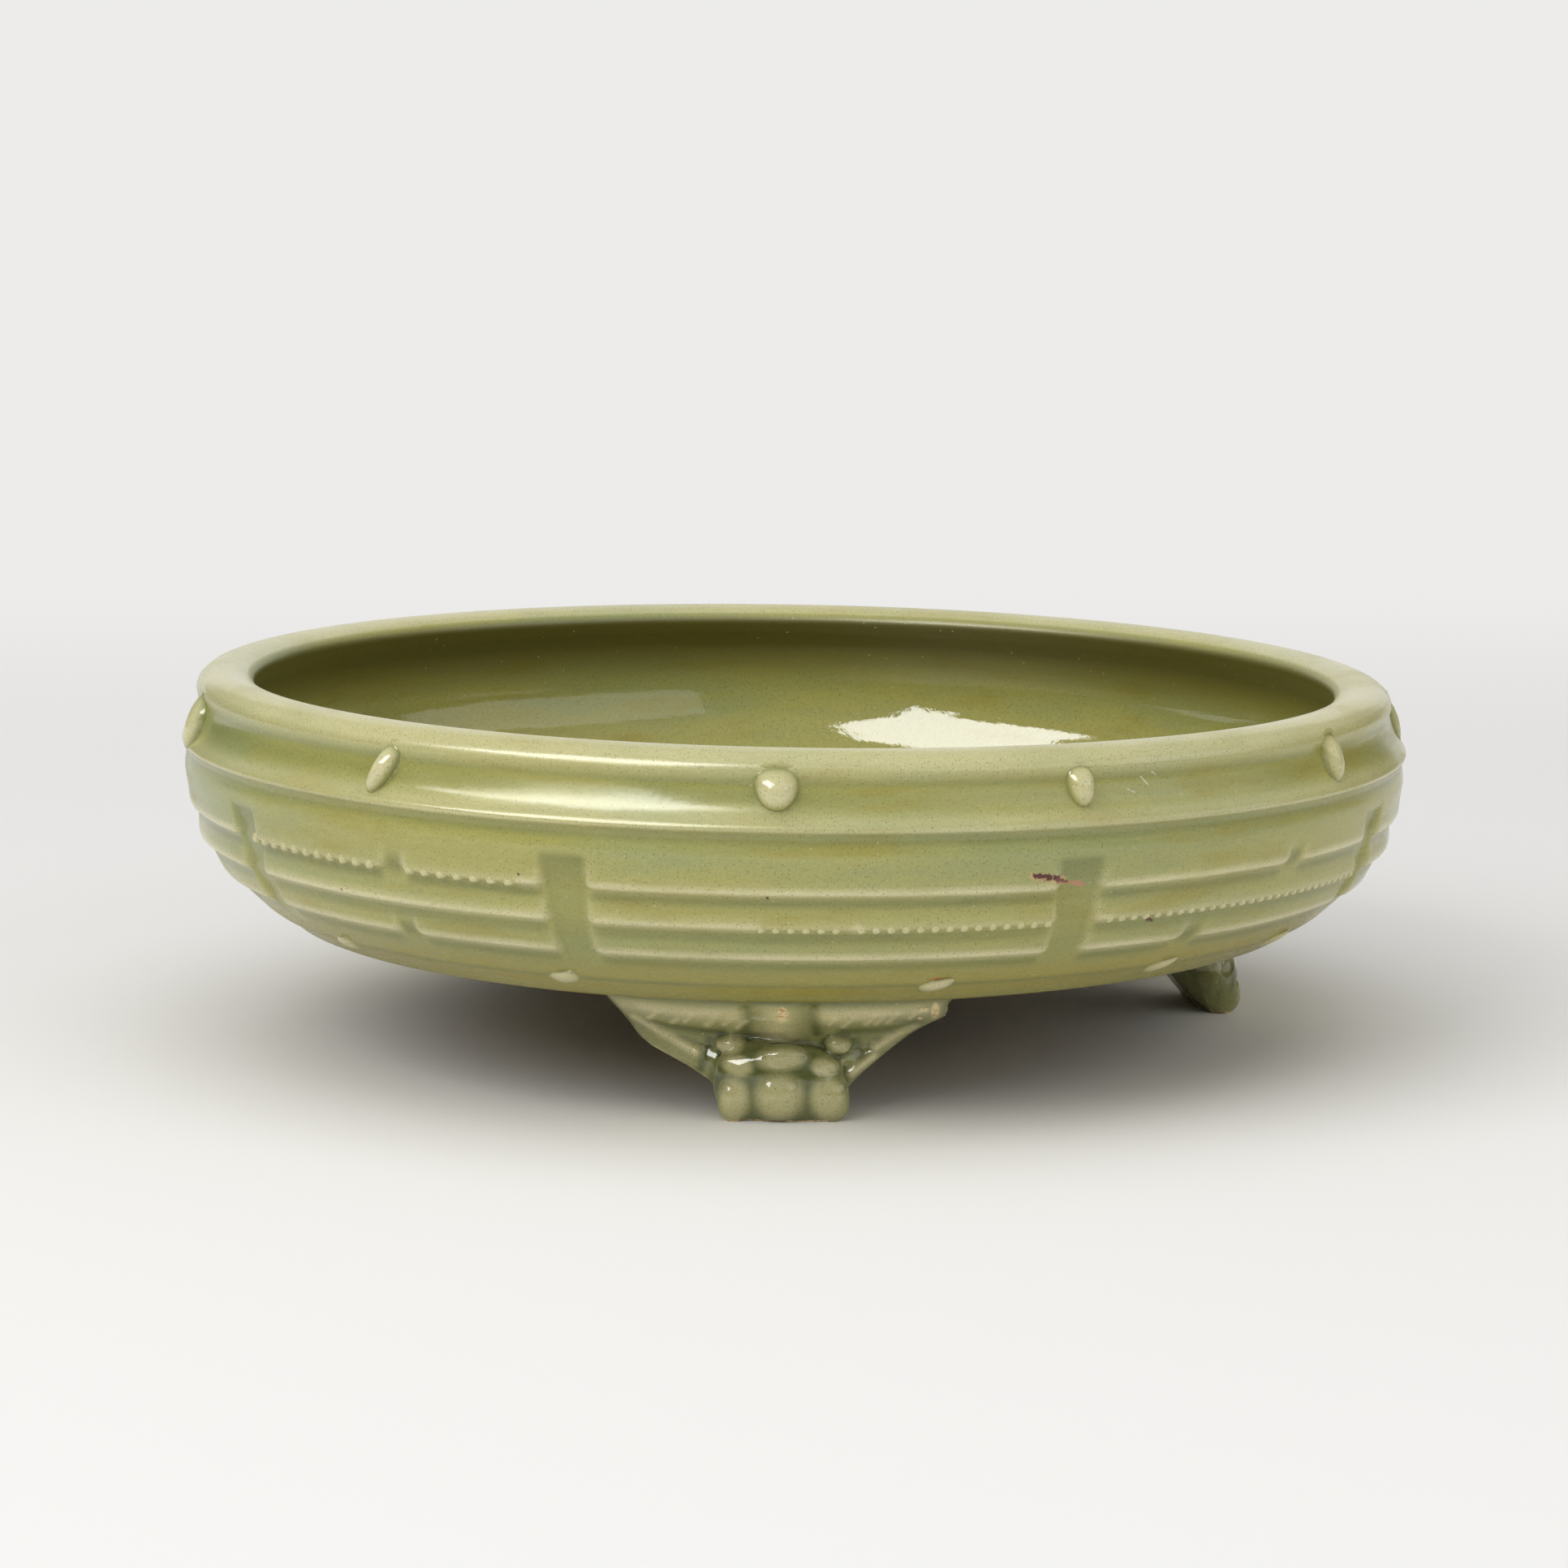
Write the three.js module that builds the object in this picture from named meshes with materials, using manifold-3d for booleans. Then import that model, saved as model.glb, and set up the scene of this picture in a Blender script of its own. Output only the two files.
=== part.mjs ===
// Tripod censer: a low celadon bowl on three lion-mask feet, in millimetres, +Z up.
// The origin is on the ground under the middle of the bowl. Angles are in degrees about +Z,
// counted from +X; the censer faces -Y.

import * as THREE from 'three';
import { mergeVertices } from 'three/addons/utils/BufferGeometryUtils.js';
import Module from 'manifold-3d';

const wasm = await Module();
wasm.setup();

const FRONT = -90;

// Heights of the turned bowl, stacked from the ground up
const RING_CLEARANCE = 19;        // ground to the foot ring
const FOOT_RING_HEIGHT = 2.8;     // foot ring below the underside
const UNDERSIDE_RISE = 5.8;       // underside, from the foot ring out to the base edge
const BASE_BAND_HEIGHT = 3.8;     // low band that carries the base studs
const LOWER_WALL_HEIGHT = 6.2;    // base band to the bottom line
const LOWER_LINE_PITCH = 6.7;     // bottom line to middle line
const UPPER_LINE_PITCH = 7;       // middle line to top line
const PLAIN_BAND_HEIGHT = 12.9;   // top line to the ridge
const SHOULDER_HEIGHT = 10;       // ridge to the underside of the rolled rim
const RIM_HEIGHT = 4.8;           // rolled rim

// Radius at the ridge, and how far each feature lies inside it
const RIDGE_RADIUS = 132.8;
const RIM_INSET = 4.1;
const SHOULDER_INSET = 6;
const PLAIN_BAND_INSET = 0.6;
const TOP_LINE_INSET = 1.5;
const MIDDLE_LINE_INSET = 3.6;
const BOTTOM_LINE_INSET = 8.4;
const BASE_STEP_INSET = 16;
const BASE_EDGE_INSET = 21.9;

// The censer sank a little in the kiln: its rim is this much lower at the right than midway
const KILN_SAG = 2.3;
const SAG_ANGLE = 9;

// Wall, rim, floor, foot ring and turned steps
const WALL = 8.8;
const RIM_WIDTH = 11.5;
const FLOOR = 8.4;
const FOOT_RING_RADIUS = 54;
const FOOT_RING_WIDTH = 7;
const RIDGE_STEP = 0.6;           // ridge out from the plain band
const BASE_STEP = 0.6;            // lower wall out from the base band

// Raised lines round the bowl
const LINE_DEPTH = 1.7;           // groove below each line
const LINE_EDGE = 1.2;            // height of the rounded edge of a line
const LINE_FACE = 4.6;            // height over which the face of a line dies into the wall
const LINE_ROOT = 1.4;            // a line is rooted this deep behind the groove
const LINE_SINK = 0.3;            // the top of a line sinks this far into the wall

// Recessed channels that part the panels, where the potter laid them
const CHANNEL_ANGLES = [-149, -110, -65, -24.2, 22.8, 69.8, 116.8, 163.8];
const CHANNEL_TOP_WIDTH = 9.4;
const CHANNEL_FOOT_WIDTH = 6.6;
const CHANNEL_RISE = 6.4;         // channel above the edge of the top line

// Lines of each panel from top to bottom, between one channel and the next. A broken line gives
// how many degrees its break lies past the middle of the panel.
const UNBROKEN = null;
const PANEL_LINES = [
  [2.4, UNBROKEN, 1.6],
  [UNBROKEN, UNBROKEN, UNBROKEN],
  [5, UNBROKEN, -6.2],
  [UNBROKEN, 0, UNBROKEN],
  [UNBROKEN, 1, -1],
  [1, 0, -1],
  [-1, 1, UNBROKEN],
  [UNBROKEN, UNBROKEN, 0],
];
const BREAK_WIDTH = 4.2;
const BREAK_SLANT = 0.9;          // a break leans by this from top to bottom

// Studs, and the clearance at which they and the feet seat on the bowl
const SEAT_GAP = 0.3;
const SHOULDER_STUD = { wide: 6, deep: 10, tall: 8.6 };
const SHOULDER_STUDS = [
  { angle: -167, drop: 5.4, lean: 4 },
  { angle: -129, drop: 4.5, lean: 28 },
  { angle: -91.6, drop: 2.8, lean: 0 },
  { angle: -63.9, drop: 3.8, lean: -4 },
  { angle: -29.7, drop: 4.2, lean: -8 },
  { angle: -2, drop: 5, lean: -6 },
  { angle: 33, drop: 4, lean: 3 },
  { angle: 64, drop: 3.6, lean: -5 },
  { angle: 96, drop: 4.4, lean: 6 },
  { angle: 128, drop: 3.8, lean: 0 },
  { angle: 160, drop: 4.2, lean: -7 },
];
const BASE_STUD = { wide: 6.4, deep: 5, tall: 4 };
const BASE_STUD_ANGLES = [-142, -113, -76.2, -50.8, -31.3, -3, 27, 57, 88, 118, 148, 177];
const BASE_STUD_RISE = 2.2;       // base edge to the middle of a stud

// Lion-mask feet: paw, mask and leg
const FOOT_ANGLES = { front: -91.6, right: 12.6, back: 130 };
const SOLE_INSET = 34.4;          // ridge to the front of the sole
const SOLE_DEPTH = 8;
const SOLE_WIDTH = 21.6;
const PAW_WIDTH = 25.2;
const PAW_HEIGHT = 11;            // sole to the top of the toes
const PAW_SWELL = 1.2;            // paw forward of the sole
const MOUTH_RISE = 5;             // top of the toes to the mouth
const MOUTH_SETBACK = 3.8;        // mouth behind the front of the sole
const MASK_TOP_WIDTH = 68;
const MASK_THICKNESS = 8.5;
const CHEEK_HOLLOW = 0.8;         // the outline curves in by this below a cheek
const LEFT_CHEEK = { out: 27.6, drop: 13.2 }; // corner of the cheek: out from the middle, and down
const RIGHT_CHEEK = { out: 26.7, drop: 11 };  // from the base edge
const LEG_TOP_WIDTH = 30;         // back of the leg at the bowl
const LEG_TOP_DEPTH = 33;         // base edge in to the back of the leg
const LEG_FOOT_WIDTH = 13;        // back of the leg at the sole
const FOOT_ROOT = 3;              // clay worked up past the base edge and cut to the bowl
const FOOT_COURSES = 11;          // level courses of the modelled foot

// Swellings on a foot. Rise is above the ground, across is to the right of the middle.
const TOE = { wide: 7, deep: 10, tall: 9, rise: 4.9, sink: 0.33 };
const TOE_SPREAD = 8.9;
const MIDDLE_TOE = { wide: 9, deep: 11, tall: 9, rise: 5.2, sink: 0.3 };
const KNUCKLE = { wide: 6.6, deep: 8, tall: 4.8, rise: 12.4, sink: 0.36 };
const KNUCKLE_SPREAD = 8.4;
const MIDDLE_KNUCKLE = { wide: 10, deep: 8.5, tall: 5, rise: 13.2, sink: 0.32 };
const EYE = { wide: 5.6, deep: 5, tall: 4.4, rise: 16.2, sink: 0.1 };
const EYE_SPREAD = 10.8;
const BROW = { wide: 18, deep: 6, tall: 5, rise: 22.3, sink: 0.3 };
const BROW_SPREAD = 17;
const BROW_LEAN = 8;
const FOREHEAD = { wide: 11, deep: 7, tall: 8.4, rise: 21, sink: 0.32 };
const CHEEK = { wide: 3.4, deep: 5, tall: 13, rise: 16.8, sink: 0.3 };
const CHEEK_SPREAD = 20.5;
const CHEEK_LEAN = 57;

const BOWL_SIDES = 60;

// Heights and radii that the values above add up to
const underside = RING_CLEARANCE + FOOT_RING_HEIGHT;
const baseEdge = underside + UNDERSIDE_RISE;
const baseStep = baseEdge + BASE_BAND_HEIGHT;
const bottomLine = baseStep + LOWER_WALL_HEIGHT;
const middleLine = bottomLine + LOWER_LINE_PITCH;
const topLine = middleLine + UPPER_LINE_PITCH;
const ridge = topLine + PLAIN_BAND_HEIGHT;
const rimUnderside = ridge + SHOULDER_HEIGHT;
const rimTop = rimUnderside + RIM_HEIGHT;

const rimRadius = RIDGE_RADIUS - RIM_INSET;
const mouthRadius = rimRadius - RIM_WIDTH;
const shoulderRadius = RIDGE_RADIUS - SHOULDER_INSET;
const plainBandRadius = RIDGE_RADIUS - PLAIN_BAND_INSET;
const baseStepRadius = RIDGE_RADIUS - BASE_STEP_INSET;
const baseEdgeRadius = RIDGE_RADIUS - BASE_EDGE_INSET;
const soleRadius = RIDGE_RADIUS - SOLE_INSET;

const lines = [
  { edge: topLine, radius: RIDGE_RADIUS - TOP_LINE_INSET },
  { edge: middleLine, radius: RIDGE_RADIUS - MIDDLE_LINE_INSET },
  { edge: bottomLine, radius: RIDGE_RADIUS - BOTTOM_LINE_INSET },
];

const glaze = (color, roughness) => new THREE.MeshStandardMaterial({ color, roughness, metalness: 0 });
const bowlGlaze = glaze(0x9d9d6a, 0.22);
const studGlaze = glaze(0xc4c096, 0.25);
const footGlaze = glaze(0x87895a, 0.18);

const at = (radius, height) => new THREE.Vector2(radius, height);
const smooth = (points, steps) => new THREE.SplineCurve(points).getPoints(steps);
const bend = (from, pull, to, steps) => new THREE.QuadraticBezierCurve(from, pull, to).getPoints(steps);

// A closed geometry as a solid that can be joined and cut
function toSolid(geometry) {
  geometry.deleteAttribute('normal');
  geometry.deleteAttribute('uv');
  const merged = mergeVertices(geometry, 1e-4);
  const corners = merged.index.array;
  const faces = [];
  for (let i = 0; i < corners.length; i += 3) {
    const [a, b, c] = corners.slice(i, i + 3);
    if (a !== b && b !== c && c !== a) {
      faces.push(a, b, c);
    }
  }
  return new wasm.Manifold(new wasm.Mesh({
    numProp: 3,
    vertProperties: new Float32Array(merged.attributes.position.array),
    triVerts: new Uint32Array(faces),
  }));
}

// A named mesh of a solid, sunk as the kiln left it
function toMesh(name, solid, material) {
  const { vertProperties, triVerts } = solid.getMesh();
  const points = new THREE.BufferAttribute(vertProperties, 3);
  const sagAngle = THREE.MathUtils.degToRad(SAG_ANGLE);
  for (let i = 0; i < points.count; i += 1) {
    const across = points.getX(i) * Math.cos(sagAngle) + points.getY(i) * Math.sin(sagAngle);
    const sag = (KILN_SAG / rimTop) * (across / RIDGE_RADIUS);
    points.setZ(i, points.getZ(i) * (1 - sag));
  }
  const geometry = new THREE.BufferGeometry();
  geometry.setAttribute('position', points);
  geometry.setIndex(new THREE.BufferAttribute(triVerts, 1));
  geometry.computeVertexNormals();
  const mesh = new THREE.Mesh(geometry, material);
  mesh.name = name;
  return mesh;
}

const join = (solids) => solids.reduce((whole, next) => whole.add(next));
const turnTo = (solid, angle) => solid.rotate([0, 0, angle - FRONT]);

// A closed profile of radii and heights, turned about the upright axis
function turned(profile) {
  const geometry = new THREE.LatheGeometry(profile, BOWL_SIDES);
  geometry.rotateX(Math.PI / 2);
  return toSolid(geometry);
}

// Radius of a climbing profile at a height
function radiusAt(profile, height) {
  const last = profile.length - 1;
  const above = Math.max(1, profile.findIndex((point, i) => point.y >= height || i === last));
  const low = profile[above - 1];
  const high = profile[above];
  return low.x + (high.x - low.x) * (height - low.y) / (high.y - low.y);
}

// Wall at the depth of the grooves, from the base step up to the ridge
function grooveWall() {
  const [top, middle, bottom] = lines.map(({ edge, radius }) => at(radius - LINE_DEPTH, edge));
  return smooth([
    at(baseStepRadius, baseStep),
    bottom,
    middle,
    top,
    at(plainBandRadius, topLine + CHANNEL_RISE),
    at(plainBandRadius, ridge - RIDGE_STEP * 2),
  ], 10);
}

// Outside of the bowl, from the foot ring out and up to the rolled rim
function outerProfile() {
  return [
    at(FOOT_RING_RADIUS - FOOT_RING_WIDTH, RING_CLEARANCE),
    at(FOOT_RING_RADIUS, RING_CLEARANCE),
    at(FOOT_RING_RADIUS + FOOT_RING_HEIGHT / 2, underside),
    ...bend(
      at((FOOT_RING_RADIUS + baseEdgeRadius) / 2, underside + UNDERSIDE_RISE / 4),
      at(baseEdgeRadius - UNDERSIDE_RISE, baseEdge - UNDERSIDE_RISE / 2),
      at(baseEdgeRadius, baseEdge),
      3,
    ),
    at(baseStepRadius - BASE_STEP, baseStep - BASE_STEP),
    ...grooveWall(),
    at(RIDGE_RADIUS, ridge - RIDGE_STEP),
    at(RIDGE_RADIUS, ridge),
    ...bend(
      at(RIDGE_RADIUS - RIDGE_STEP, ridge + RIDGE_STEP),
      at(shoulderRadius, ridge + SHOULDER_HEIGHT / 3),
      at(shoulderRadius, rimUnderside - RIDGE_STEP),
      4,
    ),
  ];
}

// Rolled rim, from its underside over the top and in to the mouth
function rimProfile() {
  return smooth([
    at(rimRadius - RIM_HEIGHT * 0.1, rimUnderside),
    at(rimRadius, rimUnderside + RIM_HEIGHT * 0.4),
    at(rimRadius - RIM_WIDTH * 0.2, rimTop - RIM_HEIGHT * 0.12),
    at(rimRadius - RIM_WIDTH * 0.5, rimTop),
    at(rimRadius - RIM_WIDTH * 0.82, rimTop - RIM_HEIGHT * 0.18),
    at(mouthRadius, rimTop - RIM_HEIGHT * 0.65),
    at(mouthRadius + RIM_WIDTH * 0.1, rimUnderside - RIM_HEIGHT * 0.4),
  ], 10);
}

// Hollow of the bowl, from under the rim down to the middle of the floor
function hollowProfile() {
  const floorTop = underside + FLOOR;
  return smooth([
    at(plainBandRadius - WALL, ridge - PLAIN_BAND_HEIGHT / 4),
    at(lines[0].radius - LINE_DEPTH - WALL, topLine),
    at(lines[1].radius - LINE_DEPTH - WALL, middleLine + WALL / 4),
    at(baseStepRadius - WALL, bottomLine + WALL / 4),
    at(FOOT_RING_RADIUS, floorTop + FOOT_RING_HEIGHT / 4),
    at(0, floorTop),
  ], 10);
}

function bowlBody() {
  return turned([
    at(0, underside),
    at(FOOT_RING_RADIUS - FOOT_RING_WIDTH - FOOT_RING_HEIGHT / 2, underside),
    ...outerProfile(),
    ...rimProfile(),
    ...hollowProfile(),
  ]);
}

// One raised line as a whole ring: it swells out of the wall and ends in a crisp lower edge
function lineRing({ edge, radius }) {
  const root = radius - LINE_DEPTH - LINE_ROOT;
  const top = edge + LINE_FACE;
  const faceTop = radiusAt(grooveWall(), top) - LINE_SINK;
  return turned([
    at(root, edge),
    at(radius - LINE_EDGE / 4, edge),
    at(radius, edge + LINE_EDGE / 3),
    at(radius + (faceTop - radius) * LINE_EDGE / LINE_FACE, edge + LINE_EDGE),
    at(faceTop, top),
    at(root, top),
    at(root, edge),
  ]);
}

// An upright wedge through the wall at one angle, for a channel or for a break in a line
function wallCutter({ angle, topWidth, footWidth, low, high, lean = 0 }) {
  const outline = new THREE.Shape([
    at(-footWidth / 2 - lean, low),
    at(footWidth / 2 - lean, low),
    at(topWidth / 2 + lean, high),
    at(-topWidth / 2 + lean, high),
  ]);
  const geometry = new THREE.ExtrudeGeometry(outline, { depth: RIDGE_RADIUS, bevelEnabled: false });
  geometry.rotateX(Math.PI / 2);
  geometry.translate(0, -RIDGE_RADIUS / 2, 0);
  return turnTo(toSolid(geometry), angle);
}

function channelCutters() {
  return CHANNEL_ANGLES.map((angle) => wallCutter({
    angle,
    topWidth: CHANNEL_TOP_WIDTH,
    footWidth: CHANNEL_FOOT_WIDTH,
    low: bottomLine - LINE_EDGE,
    high: topLine + CHANNEL_RISE,
  }));
}

// Breaks lie about midway between two channels
function breakCutters() {
  const cutters = [];
  PANEL_LINES.forEach((breaks, panel) => {
    const start = CHANNEL_ANGLES[panel];
    const next = CHANNEL_ANGLES[(panel + 1) % CHANNEL_ANGLES.length];
    const middle = start + THREE.MathUtils.euclideanModulo(next - start, 360) / 2;
    lines.forEach(({ edge }, row) => {
      if (breaks[row] !== UNBROKEN) {
        cutters.push(wallCutter({
          angle: middle + breaks[row],
          topWidth: BREAK_WIDTH,
          footWidth: BREAK_WIDTH,
          low: edge - LINE_SINK,
          high: edge + LINE_FACE + LINE_SINK,
          lean: BREAK_SLANT,
        }));
      }
    });
  });
  return cutters;
}

function bowl() {
  const rings = join(lines.map(lineRing));
  const cutters = join([...channelCutters(), ...breakCutters()]);
  return bowlBody().add(rings.subtract(cutters));
}

// Outside of the bowl grown by the seating gap: studs and feet are cut to lie against it
function seatCutter() {
  const outside = outerProfile();
  const grown = outside.map((point, i) => {
    const before = outside[Math.max(i - 1, 0)];
    const after = outside[Math.min(i + 1, outside.length - 1)];
    const along = after.clone().sub(before).normalize();
    return at(point.x + along.y * SEAT_GAP, point.y - along.x * SEAT_GAP);
  });
  return turned([
    at(0, grown[0].y),
    ...grown,
    at(rimRadius + SEAT_GAP, rimUnderside - SEAT_GAP),
    at(rimRadius + SEAT_GAP, rimTop),
    at(0, rimTop),
  ]);
}

// An egg of clay with X to the right, -Y outwards and Z up, leaning in its upright plane
function egg({ wide, deep, tall, radius, rise, lean = 0 }) {
  const geometry = new THREE.IcosahedronGeometry(0.5, 1);
  geometry.scale(wide, tall, deep);
  geometry.rotateZ(-THREE.MathUtils.degToRad(lean));
  geometry.rotateX(Math.PI / 2);
  geometry.translate(0, -radius, rise);
  return toSolid(geometry);
}

function studs(family, shape, placings, seat) {
  const wall = outerProfile().filter((point) => point.x > baseEdgeRadius - UNDERSIDE_RISE);
  return placings.map(({ angle, rise, lean }, i) => {
    const stud = egg({ ...shape, radius: radiusAt(wall, rise), rise, lean });
    const name = `${family}_${String(i + 1).padStart(2, '0')}`;
    return toMesh(name, turnTo(stud, angle).subtract(seat), studGlaze);
  });
}

// Curves of a foot by height: points give a height and a half width or radius there
function footCurve(...points) {
  const curve = points.map(([height, value]) => at(value, height));
  return smooth(curve, points.length * 6);
}

const mouthHeight = PAW_HEIGHT + MOUTH_RISE;
const mouthRadiusOfMask = soleRadius - MOUTH_SETBACK;
const rootHeight = baseEdge + FOOT_ROOT;

// Half width of paw and mask on the side of one cheek, seen from the front
function maskHalf({ out, drop }) {
  const ankle = PAW_HEIGHT * 0.6;
  const cheek = baseEdge - drop;
  return footCurve(
    [0, SOLE_WIDTH / 2],
    [PAW_HEIGHT * 0.3, PAW_WIDTH / 2],
    [ankle, PAW_WIDTH / 2 + PAW_SWELL],
    [(ankle + cheek) / 2, (PAW_WIDTH / 2 + PAW_SWELL + out) / 2 - CHEEK_HOLLOW],
    [cheek, out],
    [(cheek + baseEdge) / 2, (out * 2 + MASK_TOP_WIDTH / 2) / 3 + PAW_SWELL],
    [baseEdge, MASK_TOP_WIDTH / 2],
    [rootHeight, MASK_TOP_WIDTH / 2],
  );
}

const leftHalf = maskHalf(LEFT_CHEEK);
const rightHalf = maskHalf(RIGHT_CHEEK);

// Radius of the front: paw, mouth, and the mask leaning out to the base edge of the bowl
const footFront = footCurve(
  [0, soleRadius],
  [PAW_HEIGHT / 2, soleRadius + PAW_SWELL],
  [PAW_HEIGHT, soleRadius - PAW_SWELL * 2],
  [mouthHeight, mouthRadiusOfMask],
  [(mouthHeight + baseEdge) / 2, (mouthRadiusOfMask + baseEdgeRadius) / 2],
  [baseEdge, baseEdgeRadius],
  [rootHeight, baseEdgeRadius],
);

// Radius and half width of the back of the leg
const legBack = footCurve(
  [0, soleRadius - SOLE_DEPTH],
  [PAW_HEIGHT / 4, soleRadius - SOLE_DEPTH - PAW_SWELL * 2],
  [baseEdge, baseEdgeRadius - LEG_TOP_DEPTH],
  [rootHeight, baseEdgeRadius - LEG_TOP_DEPTH - FOOT_ROOT],
);
const legHalf = footCurve(
  [0, LEG_FOOT_WIDTH / 2],
  [PAW_HEIGHT, LEG_FOOT_WIDTH / 2 + PAW_SWELL],
  [baseEdge, LEG_TOP_WIDTH / 2],
  [rootHeight, LEG_TOP_WIDTH / 2],
);

// One level course of a foot as a ring of points, bent to the curve of the bowl
function footCourse(height) {
  const leg = radiusAt(legHalf, height);
  const front = radiusAt(footFront, height);
  const back = radiusAt(legBack, height);
  const thick = Math.min(MASK_THICKNESS, (front - back) * 0.6);
  const side = (mask) => [
    [mask * 0.5, front],
    [mask * 0.84, front - thick * 0.06],
    [mask, front - thick * 0.42],
    [mask * 0.94, front - thick * 0.88],
    [(mask + leg) / 2, front - thick - (front - thick - back) * 0.3],
    [leg, back + (front - thick - back) * 0.2],
    [leg * 0.55, back],
  ];
  const right = side(radiusAt(rightHalf, height));
  const left = side(radiusAt(leftHalf, height)).map(([across, radius]) => [-across, radius]);
  return [[0, front], ...right, [0, back], ...left.reverse()].map(([across, radius]) => (
    new THREE.Vector3(across, -Math.sqrt(radius ** 2 - across ** 2), height)
  ));
}

// A closed body lofted through rings that all hold the same number of points
function loft(rings) {
  const around = rings[0].length;
  const last = (rings.length - 1) * around;
  const faces = [];
  for (let start = 0; start < last; start += around) {
    for (let i = 0; i < around; i += 1) {
      const a = start + i;
      const b = start + (i + 1) % around;
      faces.push(a, b, a + around, b, b + around, a + around);
    }
  }
  const cap = (ring) => THREE.ShapeUtils.triangulateShape(ring.map(({ x, y }) => at(x, y)), []);
  cap(rings[0]).forEach(([a, b, c]) => faces.push(a, c, b));
  cap(rings.at(-1)).forEach(([a, b, c]) => faces.push(last + a, last + b, last + c));
  const geometry = new THREE.BufferGeometry().setFromPoints(rings.flat());
  geometry.setIndex(faces);
  return toSolid(geometry);
}

// A swelling on the front of a foot, its middle sunk below the surface by a share of its depth
function swelling(shape, across = 0, lean = 0) {
  const radius = radiusAt(footFront, shape.rise) - shape.deep * shape.sink;
  const turn = THREE.MathUtils.radToDeg(Math.asin(across / radius));
  return egg({ ...shape, radius, lean }).rotate([0, 0, turn]);
}

function footModel(seat) {
  const courses = Array.from({ length: FOOT_COURSES }, (_, i) => rootHeight * i / (FOOT_COURSES - 1));
  const clay = [
    loft(courses.map(footCourse)),
    swelling(MIDDLE_TOE),
    swelling(MIDDLE_KNUCKLE),
    swelling(FOREHEAD),
  ];
  for (const side of [-1, 1]) {
    clay.push(
      swelling(TOE, side * TOE_SPREAD),
      swelling(KNUCKLE, side * KNUCKLE_SPREAD),
      swelling(EYE, side * EYE_SPREAD),
      swelling(BROW, side * BROW_SPREAD, side * -BROW_LEAN),
      swelling(CHEEK, side * CHEEK_SPREAD, side * CHEEK_LEAN),
    );
  }
  const ground = new THREE.BoxGeometry(MASK_TOP_WIDTH, RIDGE_RADIUS * 2, PAW_HEIGHT);
  ground.translate(0, 0, -PAW_HEIGHT / 2);
  return join(clay).subtract(toSolid(ground)).subtract(seat);
}

const censer = new THREE.Group();
const seat = seatCutter();
const foot = footModel(seat);
censer.add(toMesh('bowl', bowl(), bowlGlaze));
for (const [place, angle] of Object.entries(FOOT_ANGLES)) {
  censer.add(toMesh(`mask_foot_${place}`, turnTo(foot, angle), footGlaze));
}
censer.add(...studs('shoulder_stud', SHOULDER_STUD, SHOULDER_STUDS.map(({ angle, drop, lean }) => (
  { angle, rise: rimUnderside - drop, lean }
)), seat));
censer.add(...studs('base_stud', BASE_STUD, BASE_STUD_ANGLES.map((angle) => (
  { angle, rise: baseEdge + BASE_STUD_RISE }
)), seat));

export default censer;
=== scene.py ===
# Tripod censer: an old bowl of celadon stoneware on three lion-mask feet.
# Pieces are shaped in millimetres and brought to metres when they are finished. Angles are in
# degrees about the upright axis, counted from +X, so the front of the censer is at -90.

import math

import bmesh
import bpy
import numpy as np
from mathutils import Euler, Matrix, Vector


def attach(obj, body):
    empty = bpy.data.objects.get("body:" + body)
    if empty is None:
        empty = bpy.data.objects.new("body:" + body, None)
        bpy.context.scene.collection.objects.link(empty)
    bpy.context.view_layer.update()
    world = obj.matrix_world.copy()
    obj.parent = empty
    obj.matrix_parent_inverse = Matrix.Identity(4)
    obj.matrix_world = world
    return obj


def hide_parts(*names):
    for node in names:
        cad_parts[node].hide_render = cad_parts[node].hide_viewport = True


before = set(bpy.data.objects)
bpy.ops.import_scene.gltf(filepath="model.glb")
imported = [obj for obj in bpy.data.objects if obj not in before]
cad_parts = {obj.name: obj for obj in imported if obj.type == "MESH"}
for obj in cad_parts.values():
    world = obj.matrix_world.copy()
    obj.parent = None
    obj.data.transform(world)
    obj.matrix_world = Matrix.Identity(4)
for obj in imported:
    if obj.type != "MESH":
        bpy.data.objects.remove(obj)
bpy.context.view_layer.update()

# The bowl is thrown on the wheel from grey stoneware clay and turned when leather-hard: a foot
# ring, a low band above it, a curved wall, a sharp ridge, a hollow shoulder and a rolled rim.
# Three raised lines run round the wall; upright channels and short breaks are cut through them.

RIDGE_RADIUS = 132.8
RIM_RADIUS = 129.5
RIM_WIDTH = 12.3
RIM_HEIGHT = 4.8
SHOULDER_RADIUS = 129.2
PLAIN_BAND_RADIUS = 132.2
BASE_STEP_RADIUS = 116.8
BASE_EDGE_RADIUS = 110.9
FOOT_RING_RADIUS = 54
FOOT_RING_WIDTH = 7
WALL = 8.8

RING_CLEARANCE = 19
UNDERSIDE = 21.8
BASE_EDGE = 27.6
BASE_STEP = 31.4
LINES = [37.6, 44.3, 51.3]
RIDGE = 64.2
RIM_UNDERSIDE = 74.2
RIM_TOP = 79
FLOOR_TOP = 30.2

LINE_RADII = [124.4, 129.2, 131.3]
LINE_DEPTH = 1.25
LINE_FACE = 5
LINE_SOFTNESS = 0.62
CHANNEL_TOP = LINES[2] + 6.4
CHANNEL_FOOT = LINES[0] - 1.6
CHANNEL_WIDTHS = 6.6, 9.4
CHANNEL_DEPTH = 0.75
CHANNELS = [-149, -110, -65, -24.2, 22.8, 69.8, 116.8, 163.8]
BREAK_WIDTH = 4.2
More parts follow.
